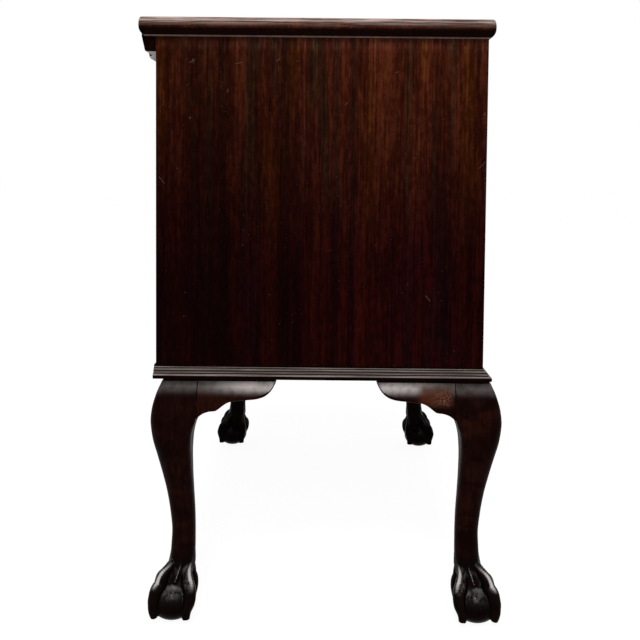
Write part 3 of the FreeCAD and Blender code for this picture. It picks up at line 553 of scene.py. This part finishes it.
def joined(shells):
    """One list of points and faces from several."""
    points, faces = [], []
    for more_points, more_faces in shells:
        base = len(points)
        points += more_points
        faces += [tuple(base + i for i in face) for face in more_faces]
    return points, faces


def outward_mesh(name, points, faces):
    """Mesh in metres from points in millimetres, with its normals outward."""
    bm = bmesh.new()
    spots = [bm.verts.new((x * MM, y * MM, z * MM)) for x, y, z in points]
    for face in faces:
        bm.faces.new([spots[i] for i in face])
    bmesh.ops.recalc_face_normals(bm, faces=bm.faces)
    return closed(bm, name)


def closed(bm, name):
    """Mesh of what was edited."""
    mesh = bpy.data.meshes.new(name)
    bm.to_mesh(mesh)
    bm.free()
    return mesh


def store(mesh, name, values):
    """Keeps a number from 0 to 1 for each point of a mesh, for its material."""
    layer = mesh.attributes.new(name, "FLOAT", "POINT")
    layer.data.foreach_set("value", values.clip(0, 1).astype(np.float32))


def placed(name, data):
    """Object of a mesh, lamp or camera, linked into the scene."""
    piece = bpy.data.objects.new(name, data)
    bpy.context.scene.collection.objects.link(piece)
    return piece


# Faces at least this large, in square metres, are shaded flat
FLAT_AREA = 0.003


def add_piece(mesh, materials, body, stands_for=(), sharp=38.0):
    """Makes a shaded object of a mesh, with the same name, that rides on a body."""
    mesh.shade_smooth()
    mesh.set_sharp_from_angle(angle=math.radians(sharp))
    for face in mesh.polygons:
        face.use_smooth = face.area < FLAT_AREA
    for material in materials:
        mesh.materials.append(material)
    piece = placed(mesh.name, mesh)
    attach(piece, body)
    if stands_for:
        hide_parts(*stands_for)


# Legs, in millimetres from the ankle axis with +x and +y outward
CORNERS = {"front_left": (-1, -1), "front_right": (1, -1), "rear_left": (-1, 1), "rear_right": (1, 1)}
POST = 24.0
LEG_TOP = 347.0
# Height, outer reach and inner reach of each section, and the rounding of its corners
LEG_SECTIONS = (
    (347.0, 26.5, -25.0, 0.12, 0.04, 0.04), (327.9, 34.7, -25.0, 0.16, 0.04, 0.04),
    (305.4, 40.7, -25.0, 0.22, 0.04, 0.04), (290.1, 42.2, -21.6, 0.26, 0.08, 0.10),
    (277.6, 41.5, -17.3, 0.30, 0.14, 0.16), (262.0, 39.5, -14.8, 0.34, 0.20, 0.22),
    (239.4, 34.3, -14.0, 0.38, 0.28, 0.30), (211.7, 28.0, -14.6, 0.42, 0.35, 0.36),
    (183.9, 22.3, -15.8, 0.44, 0.40, 0.41), (152.7, 18.0, -17.3, 0.46, 0.44, 0.44),
    (124.9, 15.8, -17.8, 0.46, 0.46, 0.46), (100.6, 17.0, -17.8, 0.46, 0.46, 0.46),
    (84.0, 18.5, -17.4, 0.46, 0.46, 0.46), (74.0, 20.5, -16.0, 0.46, 0.46, 0.46),
)
# Ball: its axis along x and y, radius, height of its middle, and depth below that
BALL_SPOT, BALL_SIZE, BALL_RISE, BALL_BELOW = 12.5, 32.0, 25.0, 25.4
# Outline of the foot: height, axis, half width, and half thickness of a toe
FOOT = (
    (0, 13.0, 28.0, 4.8), (6, 12.8, 28.5, 5.4), (12, 13.1, 29.5, 6.0), (18, 12.8, 30.9, 6.6),
    (23.5, 12.4, 32.2, 7.2), (29, 11.8, 33.1, 7.8), (34.5, 11.3, 33.9, 8.3), (40, 10.3, 34.2, 8.7),
    (45, 9.5, 34.4, 9.0), (50, 8.4, 34.0, 9.2), (55, 6.8, 32.6, 9.2), (60, 6.1, 31.8, 8.7),
    (65, 5.6, 30.2, 7.9), (69.5, 4.6, 27.9, 7.2), (74, 3.0, 25.0, 6.6), (78, 1.8, 22.4, 6.0),
    (83, 0.3, 19.8, 5.3), (88, -0.3, 18.3, 4.4), (100, -0.5, 14.4, 2.8), (112, -0.5, 10.5, 1.6),
)
# How far the corner, side and inner toes draw in from that half width
CORNER_DRAW = ((0, 5.0), (6, 3.0), (12, 1.2), (20, 0.4), (34, 0.5), (46, 0.9), (58, 2.4), (70, 2.6),
               (84, 4.4), (112, 0))
SIDE_DRAW = ((0, 1.5), (6, 0.8), (20, 1.6), (34, -0.3), (46, 1.3), (58, 7.4), (70, 8.8), (76, 7.0), (84, 4.0),
             (92, 3.0), (100, 1.4), (112, 0.5))
INNER_DRAW = ((0, 0.5), (6, 0.5), (20, 2.0), (34, 2.5), (46, 4.6), (58, 8.0), (70, 6.8), (84, 3.3), (112, 0))
# Each toe from the outer corner round, with the height of its tip, and the height where toes leave the ankle
TOES = ((CORNER_DRAW, 11.0), (SIDE_DRAW, 8.5), (INNER_DRAW, 8.0), (SIDE_DRAW, 8.5))
TOE_TOP = 112.0
# Skin between the toes: its axis, and its size half way between two toes and beside one
WEB_CENTRE = ((36, 12.5), (40, 12.3), (44, 11.5), (50, 9.8), (54, 8.7), (58, 7.5), (67, 4.8),
              (80, 1.0), (96, -0.3))
WEB_MIDDLE = ((36, 20.0), (54, 18.5), (60, 18.6), (67, 18.8), (80, 18.0), (96, 17.4))
WEB_BESIDE = ((36, 31.5), (40, 29.9), (44, 27.6), (50, 24.5), (58, 22.0), (67, 20.3), (80, 18.3), (96, 17.4))
# Top of the skin, its lower edge between toes and how far that drops beside them, and the cap inside it
WEB_TOP, WEB_ARCH, WEB_DROP = 96.0, 54.0, 14.0
CAP_SPOT, CAP_SIZE, CAP_RISE = 11, 4, 38
TENDON_TOP, TENDON_LOW = 95, 55
# Painted highlight strips on the toes: the axis that they face away from, their extent, the heights where
# they thin out, and their width
CREST_AXIS, CREST_LEAN = (9.0, 9.0, 0.0), 12.0
CREST_LOW, CREST_HIGH = 38, 108
FADE_LOW, FADE_HIGH, FADE_RUN = 50, 83, 11
CREST_EDGE, CREST_SOFT, CREST_SKIN = 0.915, 0.075, 2.2
# Grain of the carved skin in metres, rounds of smoothing, and depth of the ball's mark in millimetres
VOXEL, SOFTENING, BALL_SKIN = 0.0010, 3, 1.6
# Ankle axis inward of the case's end, rear and front, in metres
ANKLE_SIDE, ANKLE_REAR, ANKLE_FRONT = 0.032, 0.0135, 0.0335


def rounded_ring(low, high, rounds, z, steps=9):
    """Square section from low to high with its own rounding at the outer, side and inner corners."""
    outer, side, inner = (share * (high - low) for share in rounds)
    corners = ((high, high, outer), (low, high, side), (low, low, inner), (high, low, side))
    ring = []
    for turn, (x, y, radius) in enumerate(corners):
        middle_x = x - math.copysign(radius, x - (low + high) / 2)
        middle_y = y - math.copysign(radius, y - (low + high) / 2)
        for i in range(steps):
            angle = math.pi / 2 * (turn + i / (steps - 1))
            spot = (middle_x + radius * math.cos(angle), middle_y + radius * math.sin(angle))
            ring.append((max(spot[0], -POST), max(spot[1], -POST), z))
    return ring


def shaft_shell():
    tracks = [spline([(row[0], row[k]) for row in LEG_SECTIONS]) for k in range(1, 6)]
    rings = []
    for z in np.linspace(LEG_SECTIONS[-1][0], LEG_TOP, 96):
        outer, inner, *rounds = (track(z) for track in tracks)
        rings.append(rounded_ring(inner, outer, rounds, z))
    return loft(rings)


def ball_shell():
    rings = []
    for lift in np.linspace(-0.49, 0.49, 37) * math.pi:
        reach = BALL_SIZE * math.cos(lift)
        z = BALL_RISE + (BALL_SIZE if lift > 0 else BALL_BELOW) * math.sin(lift)
        rings.append([(BALL_SPOT + reach * math.cos(a), BALL_SPOT + reach * math.sin(a), z)
                      for a in np.linspace(0, math.tau, 56, endpoint=False)])
    return loft(rings)


def tube_shell(path, sizes, count=16):
    """Closed round tube along a path of points."""
    path = [Vector(p) for p in path]
    rings = []
    for i, spot in enumerate(path):
        ahead = (path[min(i + 1, len(path) - 1)] - path[max(i - 1, 0)]).normalized()
        side = ahead.orthogonal().normalized() if i == 0 else (side - ahead * side.dot(ahead)).normalized()
        other = ahead.cross(side)
        rings.append([spot + (side * math.cos(a) + other * math.sin(a)) * sizes[i]
                      for a in np.linspace(0, math.tau, count, endpoint=False)])
    return loft(rings)


def toe_line(angle, draw, tip):
    """Middle line of a toe from the ankle to its claw, and its half thickness along that line."""
    centre, half, size = (spline([(row[0], row[k]) for row in FOOT]) for k in (1, 2, 3))
    inward = spline(draw)
    path, sizes = [], []
    for level in np.linspace(TOE_TOP, tip, 54):
        middle = centre(level)
        reach = (half(level) - inward(level) - size(level)) / math.cos(math.pi / 4)
        path.append((middle + reach * math.cos(angle), middle + reach * math.sin(angle), level))
        sizes.append(size(level))
    return path, sizes


def mark_crest_highlight(mesh, points, lines):
    """Stores a strip along the upper side of each toe, where a highlight is painted."""
    values = np.zeros(len(points))
    for path, sizes in lines:
        path, sizes = np.array(path), np.array(sizes)
        ahead = np.gradient(path, axis=0)
        ahead /= np.linalg.norm(ahead, axis=1)[:, None]
        out = path - CREST_AXIS
        out[:, 2] = 0
        out[:, 0] += CREST_LEAN * np.sign(path[-1, 0])
        out -= ahead * (out * ahead).sum(1)[:, None]
        out /= np.linalg.norm(out, axis=1)[:, None]
        near = np.flatnonzero((points[:, 2] < CREST_HIGH) & (points[:, 2] > CREST_LOW))
        gap = points[near][:, None, :] - path[None]
        spot = np.abs((gap * ahead[None]).sum(2)) + np.linalg.norm(gap, axis=2) * 0.5
        best = spot.argmin(1)
        off = gap[np.arange(len(near)), best]
        far = np.linalg.norm(off, axis=1)
        turn = (off * out[best]).sum(1) / far.clip(0.1)
        strip = ((turn - CREST_EDGE) / CREST_SOFT).clip(0, 1)
        strip *= (CREST_SKIN - (far / sizes[best]).clip(1, None)).clip(0, 1)
        z = points[near][:, 2]
        strip *= ((z - FADE_LOW) / FADE_RUN).clip(0, 1) * ((FADE_HIGH - z) / FADE_RUN).clip(0, 1)
        values[near] = np.maximum(values[near], strip)
    store(mesh, "crest_highlight", values)


def web_place(angle, z):
    """Point of the skin between the toes."""
    beside = math.sin(2 * angle) ** 2
    size = spline(WEB_MIDDLE)(z) * (1 - beside) + spline(WEB_BESIDE)(z) * beside
    centre = spline(WEB_CENTRE)(z)
    return centre + size * math.cos(angle), centre + size * math.sin(angle), z


def web_shell():
    """Skin between the toes, with an arched lower edge over the ball."""
    angles = np.linspace(0, math.tau, 96, endpoint=False)
    rings = [[(CAP_SPOT + CAP_SIZE * math.cos(a), CAP_SPOT + CAP_SIZE * math.sin(a), CAP_RISE)
              for a in angles]]
    lows = [WEB_ARCH - WEB_DROP * math.sin(2 * a) ** 2 for a in angles]
    for share in np.linspace(0, 1, 36):
        rings.append([web_place(a, low + (WEB_TOP - low) * share) for a, low in zip(angles, lows)])
    return loft(rings)


def tendon_line(angle):
    """Thin ridge down the middle of the skin between two toes."""
    path, sizes = [], []
    for z in np.linspace(TENDON_TOP, TENDON_LOW, 25):
        x, y, z = web_place(angle, z)
        path.append((x - 0.2 * math.cos(angle), y - 0.2 * math.sin(angle), z))
        sizes.append(0.6 + 1.2 * math.sin(math.pi * (WEB_TOP - z) / 44))
    return path, sizes


def remeshed(mesh, voxel, rounds):
    """One even skin round all the shells of a mesh."""
    piece = placed("shells", mesh)
    skin = piece.modifiers.new("skin", "REMESH")
    skin.mode = "VOXEL"
    skin.voxel_size = voxel
    soften = piece.modifiers.new("soften", "SMOOTH")
    soften.factor = 0.5
    soften.iterations = rounds
    result = bpy.data.meshes.new_from_object(piece.evaluated_get(bpy.context.evaluated_depsgraph_get()))
    bpy.data.objects.remove(piece)
    bpy.data.meshes.remove(mesh)
    return result


def read_points(mesh):
    points = np.empty(len(mesh.vertices) * 3)
    mesh.vertices.foreach_get("co", points)
    return points.reshape(-1, 3)


def mark_carving(mesh, rounds=24, reach=0.0009):
    """Stores how far each point lies in a hollow or stands raised, for the material."""
    points = read_points(mesh)
    normals = np.empty(points.size)
    mesh.vertex_normals.foreach_get("vector", normals)
    ends = np.empty(len(mesh.edges) * 2, dtype=np.int32)
    mesh.edges.foreach_get("vertices", ends)
    a, b = ends.reshape(-1, 2).T
    source, target = np.concatenate((a, b)), np.concatenate((b, a))
    shares = np.bincount(target, minlength=len(points)).clip(1)
    soft = points.copy()
    for _ in range(rounds):
        around = [np.bincount(target, soft[source, k], len(points)) / shares for k in range(3)]
        soft = (soft + np.stack(around, 1)) / 2
    lift = ((points - soft) * normals.reshape(-1, 3)).sum(1)
    for name, values in (("hollow", -lift), ("raised", lift)):
        store(mesh, name, (values - reach * 0.15) / reach)


def carved_leg_mesh():
    """One leg with its ball and claw foot, and the marks that its material reads."""
    shells = [shaft_shell(), ball_shell(), web_shell()]
    lines = []
    for i, (draw, tip) in enumerate(TOES):
        lines.append(toe_line(math.pi / 4 + math.pi / 2 * i, draw, tip))
        lines.append(tendon_line(math.pi / 2 * i))
        shells.append(tube_shell(*lines[-2]))
        shells.append(tube_shell(*lines[-1], 10))
    mesh = remeshed(outward_mesh("leg_shells", *joined(shells)), VOXEL, SOFTENING)
    points = read_points(mesh)
    points[:, 2] = points[:, 2].clip(0, LEG_TOP * MM)
    points[:, :2] = points[:, :2].clip(-POST * MM, None)
    mesh.vertices.foreach_set("co", points.ravel())
    mesh.update()
    mark_carving(mesh)
    gap = np.linalg.norm(points / MM - (BALL_SPOT, BALL_SPOT, BALL_RISE), axis=1) - BALL_SIZE
    store(mesh, "ball", BALL_SKIN - np.abs(gap))
    mark_crest_highlight(mesh, points / MM, lines)
    return mesh


def corner_copy(mesh, kind, corner):
    """A mesh of one corner turned to another, moved to that leg's ankle axis."""
    side_x, side_y = CORNERS[corner]
    ankle_x = side_x * (CASE_HALF - ANKLE_SIDE)
    ankle_y = CASE_REAR - ANKLE_REAR if side_y > 0 else CASE_FRONT + ANKLE_FRONT
    turned = mesh.copy()
    turned.name = kind + corner
    turned.transform(Matrix.Translation((ankle_x, ankle_y, 0)) @ Matrix.Diagonal((side_x, side_y, 1, 1)))
    if side_x * side_y < 0:
        turned.flip_normals()
    return turned


# Knee brackets, in millimetres: length, height at the leg, where the end rounds off, back face, and how far
# down they follow the knee
BRACKET_LENGTH, BRACKET_DROP, BRACKET_TURN, BRACKET_BACK, KNEE_LOW = 110.0, 51.0, 104, 4.0, 270
# Lower edge as shares of the length and of the height
BRACKET_EDGE = ((0, 0), (0.045, 0.09), (0.09, 0.15), (0.16, 0.197), (0.235, 0.215), (0.285, 0.28),
                (0.33, 0.355), (0.38, 0.42), (0.43, 0.46), (0.53, 0.485), (0.64, 0.505), (0.75, 0.53),
                (0.84, 0.585), (0.91, 0.68), (0.955, 0.79), (0.985, 0.90), (1.0, 0.97))


def bracket_shell():
    """Bracket along -y from the post, its face curved like the knee and its lower edge rounded."""
    edge = spline([(d * BRACKET_LENGTH, LEG_TOP - BRACKET_DROP + h * BRACKET_DROP) for d, h in BRACKET_EDGE])
    knee = spline([(row[0], row[1]) for row in LEG_SECTIONS if row[0] > KNEE_LOW])
    stations = [0.0, 0.7] + list(np.linspace(2.5, BRACKET_TURN, 60))
    stations += list(np.linspace(BRACKET_TURN + 1, BRACKET_LENGTH, 14))
    rings = []
    for d in stations:
        low = edge(d)
        tall = LEG_TOP - low
        round_edge = min(3.0, tall * 0.45)
        turn = max(0.0, (d - BRACKET_TURN) / (BRACKET_LENGTH - BRACKET_TURN))
        inset = (0.8 if d == 0 else 0.0) + 2.2 * turn ** 2
        ring = [(knee(z) - inset, z) for z in np.linspace(LEG_TOP, low + round_edge, 14)]
        for i in range(1, 6):
            a = math.pi / 2 * i / 5
            ring.append((knee(low + round_edge) - inset - round_edge * (1 - math.cos(a)),
                         low + round_edge * (1 - math.sin(a))))
        ring += [(BRACKET_BACK, low), (BRACKET_BACK, LEG_TOP)]
        rings.append([(x, -POST - d, z) for x, z in ring])
    return loft(rings)


def make_legs():
    leg = carved_leg_mesh()
    points, faces = bracket_shell()
    turned = [(y, x, z) for x, y, z in points]
    pair = outward_mesh("brackets", *joined([(points, faces), (turned, faces)]))
    reach = -read_points(pair)[:, :2].min(1) / MM - POST
    store(pair, "outer", reach / BRACKET_LENGTH)
    for corner in CORNERS:
        add_piece(corner_copy(leg, "carved_leg_", corner), [CARVED[corner]], "case",
                  ["leg_" + corner], 60.0)
        add_piece(corner_copy(pair, "shaped_brackets_", corner), [BRACKET[corner]], "case",
                  ["knee_brackets_" + corner])
    bpy.data.meshes.remove(leg)
    bpy.data.meshes.remove(pair)


make_legs()


# Blocked front line, in millimetres: forward of the case's front plane, from left to right
RECESS_END, BLOCK_START, BLOCK_END, CORNER_START = 110.0, 170.0, 345.0, 385.0
BLOCK_RISE, RECESS_DROP = 10.0, 14.0


def sweep(low, high, offset, steps=8):
    """Two equal tangent arcs from a hollow point to a raised one, moved forward."""
    run = high[0] - low[0]
    side = math.copysign(1, run)
    turn = 2 * math.atan((high[1] - low[1]) / abs(run))
    radius = abs(run) / (2 * math.sin(turn))
    first, second = radius - offset, radius + offset
    points = []
    for a in np.linspace(0, turn, steps):
        points.append((low[0] + side * first * math.sin(a), low[1] + radius - first * math.cos(a)))
    for a in np.linspace(turn, 0, steps)[1:]:
        points.append((high[0] - side * second * math.sin(a), high[1] - radius + second * math.cos(a)))
    return points


def front_line(offset, half_length):
    """Points (x, forward) of the blocked front from left to right."""
    right = sweep((RECESS_END, -RECESS_DROP), (BLOCK_START, BLOCK_RISE), offset)
    right += list(reversed(sweep((CORNER_START, 0.0), (BLOCK_END, BLOCK_RISE), offset)))
    right.append((half_length, offset))
    return [(-x, forward) for x, forward in reversed(right)] + right


FRONT = CASE_FRONT / MM
REAR = CASE_REAR / MM


def front_rings(profile, half_length):
    """Rings of a profile of (forward, height) along the blocked front."""
    lines = [front_line(forward, half_length) for forward, z in profile]
    return [[(line[i][0], FRONT - line[i][1], z) for line, (forward, z) in zip(lines, profile)]
            for i in range(len(lines[0]))]


def paint_under(mesh, limit):
    """Gives the second material to the faces turned down beyond a limit."""
    for face in mesh.polygons:
        if face.normal.z < limit:
            face.material_index = 1


# Top: overhang in front, then its nosing as distance in from the edge and height over the underside
TOP_OVERHANG = 20.0
NOSING = ((5.0, 0), (3.9, 0.9), (3.1, 1.9), (2.2, 3.2), (1.4, 4.6), (0.8, 6.0), (0.4, 7.4), (0.12, 9.2),
          (0, 11.5), (0, 13.5), (0.1, 15.5), (0.25, 17.0), (0.48, 18.3), (0.78, 19.7), (1.15, 21.0),
          (1.75, 22.3), (2.4, 23.2), (3.1, 23.75), (4.2, 24.0))


def make_top():
    half, rear, base = top_hi.x / MM, top_hi.y / MM, TOP_BOTTOM / MM
    rings = []
    for inset, height in NOSING:
        line = front_line(TOP_OVERHANG - inset, half - inset)
        ring = [(x, FRONT - forward, base + height) for x, forward in line]
        ring += [(half - inset, rear - inset, base + height), (inset - half, rear - inset, base + height)]
        rings.append(ring)
    mesh = outward_mesh("shaped_top", *loft(rings))
    paint_under(mesh, -0.99)
    materials = [MAHOGANY["top"], PALE["under_top"]]
    add_piece(mesh, materials, "case", ["top_board"], 45.0)


# Frieze under the top's front edge: forward of the case and height
FRIEZE = ((0.5, 805.0), (12.3, 805.0), (13.9, 805.4), (15.0, 806.5), (15.5, 808.2), (17.3, 816.0),
          (18.9, 823.0), (19.5, 826.0), (19.5, 830.0), (18.7, 830.6), (0.5, 830.6))


def make_frieze():
    mesh = outward_mesh("shaped_frieze", *loft(front_rings(FRIEZE, CASE_HALF / MM)))
    # Its faces turned down get the pale grey of painted light
    paint_under(mesh, -0.30)
    materials = [MAHOGANY["frieze"], PALE["painted_light_under_frieze"]]
    add_piece(mesh, materials, "case", ["frieze_moulding"])


# Base moulding: forward of the case, and height over its underside, from the inner top corner round
BASE_MOULDING = (
    (-60.0, 18.0), (0.2, 18.0), (0.2, 15.6), (0.8, 15.5), (1.4, 15.1), (1.75, 14.7), (1.75, 14.2),
    (1.4, 13.9), (1.4, 13.5), (2.0, 13.2), (3.2, 13.0), (4.0, 12.6), (4.4, 12.1), (4.6, 11.0),
    (5.0, 9.6), (5.6, 8.2), (5.9, 7.6), (5.9, 7.3), (7.6, 7.1), (9.2, 6.7), (10.1, 6.1), (10.6, 5.5),
    (10.9, 4.9), (11.0, 4.5), (11.0, 1.6), (10.6, 0.7), (9.8, 0.0), (-60.0, 0.0),
)


def make_base():
    """Side and rear base mouldings, mitred at the rear corners and cut square at the front."""
    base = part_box("base_rail_right")[0]
    half, floor = CASE_HALF / MM, base.z / MM
    left, right = ([(side * (half + out), REAR + out, floor + up) for out, up in BASE_MOULDING]
                   for side in (-1, 1))
    for name, rear in (("right", right), ("left", left)):
        add_base(name, [[(x, base.y / MM, z) for x, y, z in rear], rear], "base_sides")
    add_base("rear", [left, right], "base_rear")


def add_base(name, rings, wood):
    mesh = outward_mesh("base_moulding_" + name, *loft(rings))
    add_piece(mesh, [MAHOGANY[wood]], "case", ["base_rail_" + name])


# Cock bead round a drawer front: forward of its face and distance in from its edge, then its ends' inset
BEAD = ((-0.8, 0.2), (0.2, 0.2), (1.0, 0.45), (1.55, 1.0), (1.75, 1.7), (1.55, 2.4), (1.0, 2.95), (0.2, 3.2),
        (-0.8, 3.2))
BEAD_END = 1.6


def make_beads(drawer):
    """Thin rounded bead that frames one drawer front and follows its blocking."""
    low, high = (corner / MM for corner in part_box(drawer + "_drawer_front"))
    shells = []
    for edge, inward in ((low.z, 1), (high.z, -1)):
        profile = [(forward, edge + inward * inset) for forward, inset in BEAD]
        shells.append(loft(front_rings(profile, high.x)))
    for edge, inward in ((low.x, 1), (high.x, -1)):
        shells.append(loft([[(edge + inward * inset, FRONT - forward, z) for forward, inset in BEAD]
                            for z in (low.z + BEAD_END, high.z - BEAD_END)]))
    mesh = outward_mesh(drawer + "_cock_bead", *joined(shells))
    body = nodes[drawer + "_drawer_front"]["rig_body"]
    add_piece(mesh, [MAHOGANY["rails"]], body, sharp=50.0)


# Points closer than this, in metres, are one. Turns between faces that count as flat and as an arris
WELD, FLAT_TURN, ARRIS_TURN = 0.000002, math.radians(1.0), math.radians(40)
SCREW_SINK = 0.4


def copied(node):
    """Editable copy of a solid's mesh, with its doubled points joined."""
    bm = bmesh.new()
    bm.from_mesh(node.data)
    bmesh.ops.remove_doubles(bm, verts=bm.verts, dist=WELD)
    return bm


def eased(name, shows, width):
    """Copy of a solid with its arrises rounded on the faces that show, in place of it."""
    node = nodes[name]
    bm = copied(node)
    bmesh.ops.dissolve_limit(bm, angle_limit=FLAT_TURN, verts=bm.verts, edges=bm.edges)
    shows = [Vector(way) for way in shows]
    edges = []
    for edge in bm.edges:
        if len(edge.link_faces) != 2 or not edge.is_convex or edge.calc_face_angle() < ARRIS_TURN:
            continue
        if any(face.normal.dot(way) > 0.6 for face in edge.link_faces for way in shows):
            edges.append(edge)
    bmesh.ops.bevel(bm, geom=edges, offset=width * MM, segments=2, profile=0.6, affect="EDGES",
                    clamp_overlap=True)
    mesh = closed(bm, "eased_" + name)
    add_piece(mesh, [node.material_slots[0].material], node["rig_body"], [name])


def make_leg_screws():
    """Leg screws with their heads driven just under the surface that the lower drawer runs on."""
    bm = copied(nodes["leg_screws"])
    sunk = CASE_BOTTOM - SCREW_SINK * MM
    for vert in bm.verts:
        vert.co.z = min(vert.co.z, sunk)
    add_piece(closed(bm, "sunk_leg_screws"), [STEEL], "case", ["leg_screws"])


FRONT_WAY, REAR_WAY, UP_WAY = (0, -1, 0), (0, 1, 0), (0, 0, 1)
# Rounding of the case and plates, back boards, drawer fronts, and drawer sides and backs, in millimetres
CASE_EASE, REAR_EASE, FRONT_EASE, DRAWER_EASE = 0.7, 1.0, 0.6, 1.5


def make_boards():
    for name in ("case_side_right", "case_side_left"):
        eased(name, [FRONT_WAY, REAR_WAY], CASE_EASE)
    for name in ("upper_divider", "lower_divider", "top_front_rail", "base_rail_front"):
        eased(name, [FRONT_WAY], CASE_EASE)
    eased("back_boards", [REAR_WAY], REAR_EASE)
    for drawer in DRAWERS:
        make_beads(drawer)
        eased(drawer + "_drawer_front", [FRONT_WAY, UP_WAY], FRONT_EASE)
        for part in ("side_left", "side_right", "back"):
            eased(drawer + "_drawer_" + part, [UP_WAY], DRAWER_EASE)
        eased(drawer + "_pull_plates", [FRONT_WAY], CASE_EASE)


make_top()
make_frieze()
make_base()
make_boards()
make_leg_screws()


# Stage: pale floor, white surround, and three lamps as place, target, size and radiance
WHITE = (1.0, 1.0, 1.0, 1.0)
AMBIENT, FLOOR_GLOW = 0.45, 0.93
FLOOR_COLOUR, SHADOW_COLOUR = (0.72, 0.72, 0.71, 1.0), (0.15, 0.15, 0.15, 1.0)
FLOOR_REACH, FLOOR_DROP = 30.0, 0.0005
LAMPS = {
    "soft_overhead": ((0.7, 0, 3.4), (0.3, 0, 0), (0.9, 0.9), 12.0),
    "soft_end": ((3.1, 0.1, 1.9), (0.4, 0, 0.5), (1.2, 0.9), 8.0),
    "bright_end": ((2.7, -0.25, 2.5), (0.4, 0, 0.45), (0.2, 0.2), 150.0),
}
# Camera: lens and sensor in millimetres, shift, yaw, pitch and roll in degrees, and place
LENS, SENSOR = 51.606, 36.0
SHIFT_X, SHIFT_Y = -0.00791, -0.16203
CAMERA_TURN = (0.116, 3.011, 0.540)
CAMERA_PLACE = (1.7062, CASE_FRONT + 0.2370, 0.6473)


def white_to_eye(net):
    """1 for what the eye, a mirror or glass sees, 0 for light that only falls on things."""
    path = net.add("ShaderNodeLightPath")
    share = path.outputs["Is Camera Ray"]
    for name in ("Is Glossy Ray", "Is Transmission Ray"):
        share = net.math("MAXIMUM", share, path.outputs[name])
    return share


def split_surface(net, kind, cast, seen):
    """Joins one shader for light that falls on things and another for what is seen to an output."""
    mix = net.add("ShaderNodeMixShader", white_to_eye(net), cast.outputs[0], seen.outputs[0])
    net.add(kind, mix.outputs[0])


def make_world():
    world = bpy.data.worlds.new("surround")
    bpy.context.scene.world = world
    net = Net(world)
    ambient = net.add("ShaderNodeBackground", Color=WHITE, Strength=AMBIENT)
    white = net.add("ShaderNodeBackground", Color=WHITE, Strength=1.0)
    split_surface(net, "ShaderNodeOutputWorld", ambient, white)


def make_floor():
    material = bpy.data.materials.new("pale_floor")
    net = Net(material)
    plain = net.add("ShaderNodeBsdfDiffuse", Color=FLOOR_COLOUR)
    shadow = net.add("ShaderNodeBsdfDiffuse", Color=SHADOW_COLOUR)
    glow = net.add("ShaderNodeEmission", Color=WHITE, Strength=FLOOR_GLOW)
    both = net.add("ShaderNodeAddShader", shadow.outputs[0], glow.outputs[0])
    split_surface(net, "ShaderNodeOutputMaterial", plain, both)
    mesh = bpy.data.meshes.new("floor")
    corners = [(x * FLOOR_REACH, y * FLOOR_REACH, 0) for x, y in ((-1, -1), (1, -1), (1, 1), (-1, 1))]
    mesh.from_pydata(corners, [], [(0, 1, 2, 3)])
    floor = placed("floor", mesh)
    floor.location.z = -FLOOR_DROP
    mesh.materials.append(material)


def make_lamp(name, place, target, size, radiance):
    data = bpy.data.lights.new(name, "AREA")
    data.shape = "RECTANGLE"
    data.size, data.size_y = size
    data.energy = radiance * math.pi * size[0] * size[1]
    lamp = placed(name, data)
    lamp.location = place
    lamp.rotation_mode = "QUATERNION"
    lamp.rotation_quaternion = (Vector(target) - Vector(place)).to_track_quat("-Z", "Y")


def make_camera():
    data = bpy.data.cameras.new("camera")
    data.sensor_width = SENSOR
    data.lens = LENS
    data.shift_x = SHIFT_X
    data.shift_y = SHIFT_Y
    camera = placed("camera", data)
    yaw, pitch, roll = (math.radians(angle) for angle in CAMERA_TURN)
    level = Vector((-math.cos(yaw), -math.sin(yaw), 0))
    ahead = level * math.cos(pitch) - Vector((0, 0, math.sin(pitch)))
    right = Vector((-math.sin(yaw), math.cos(yaw), 0))
    up = right.cross(ahead)
    turned_right = right * math.cos(roll) + up * math.sin(roll)
    turned_up = up * math.cos(roll) - right * math.sin(roll)
    turn = Matrix((turned_right, turned_up, -ahead)).transposed()
    camera.matrix_world = Matrix.Translation(CAMERA_PLACE) @ turn.to_4x4()
    bpy.context.scene.camera = camera


make_world()
make_floor()
for name, lamp in LAMPS.items():
    make_lamp(name, *lamp)
make_camera()
bpy.context.scene.view_settings.view_transform = "Standard"
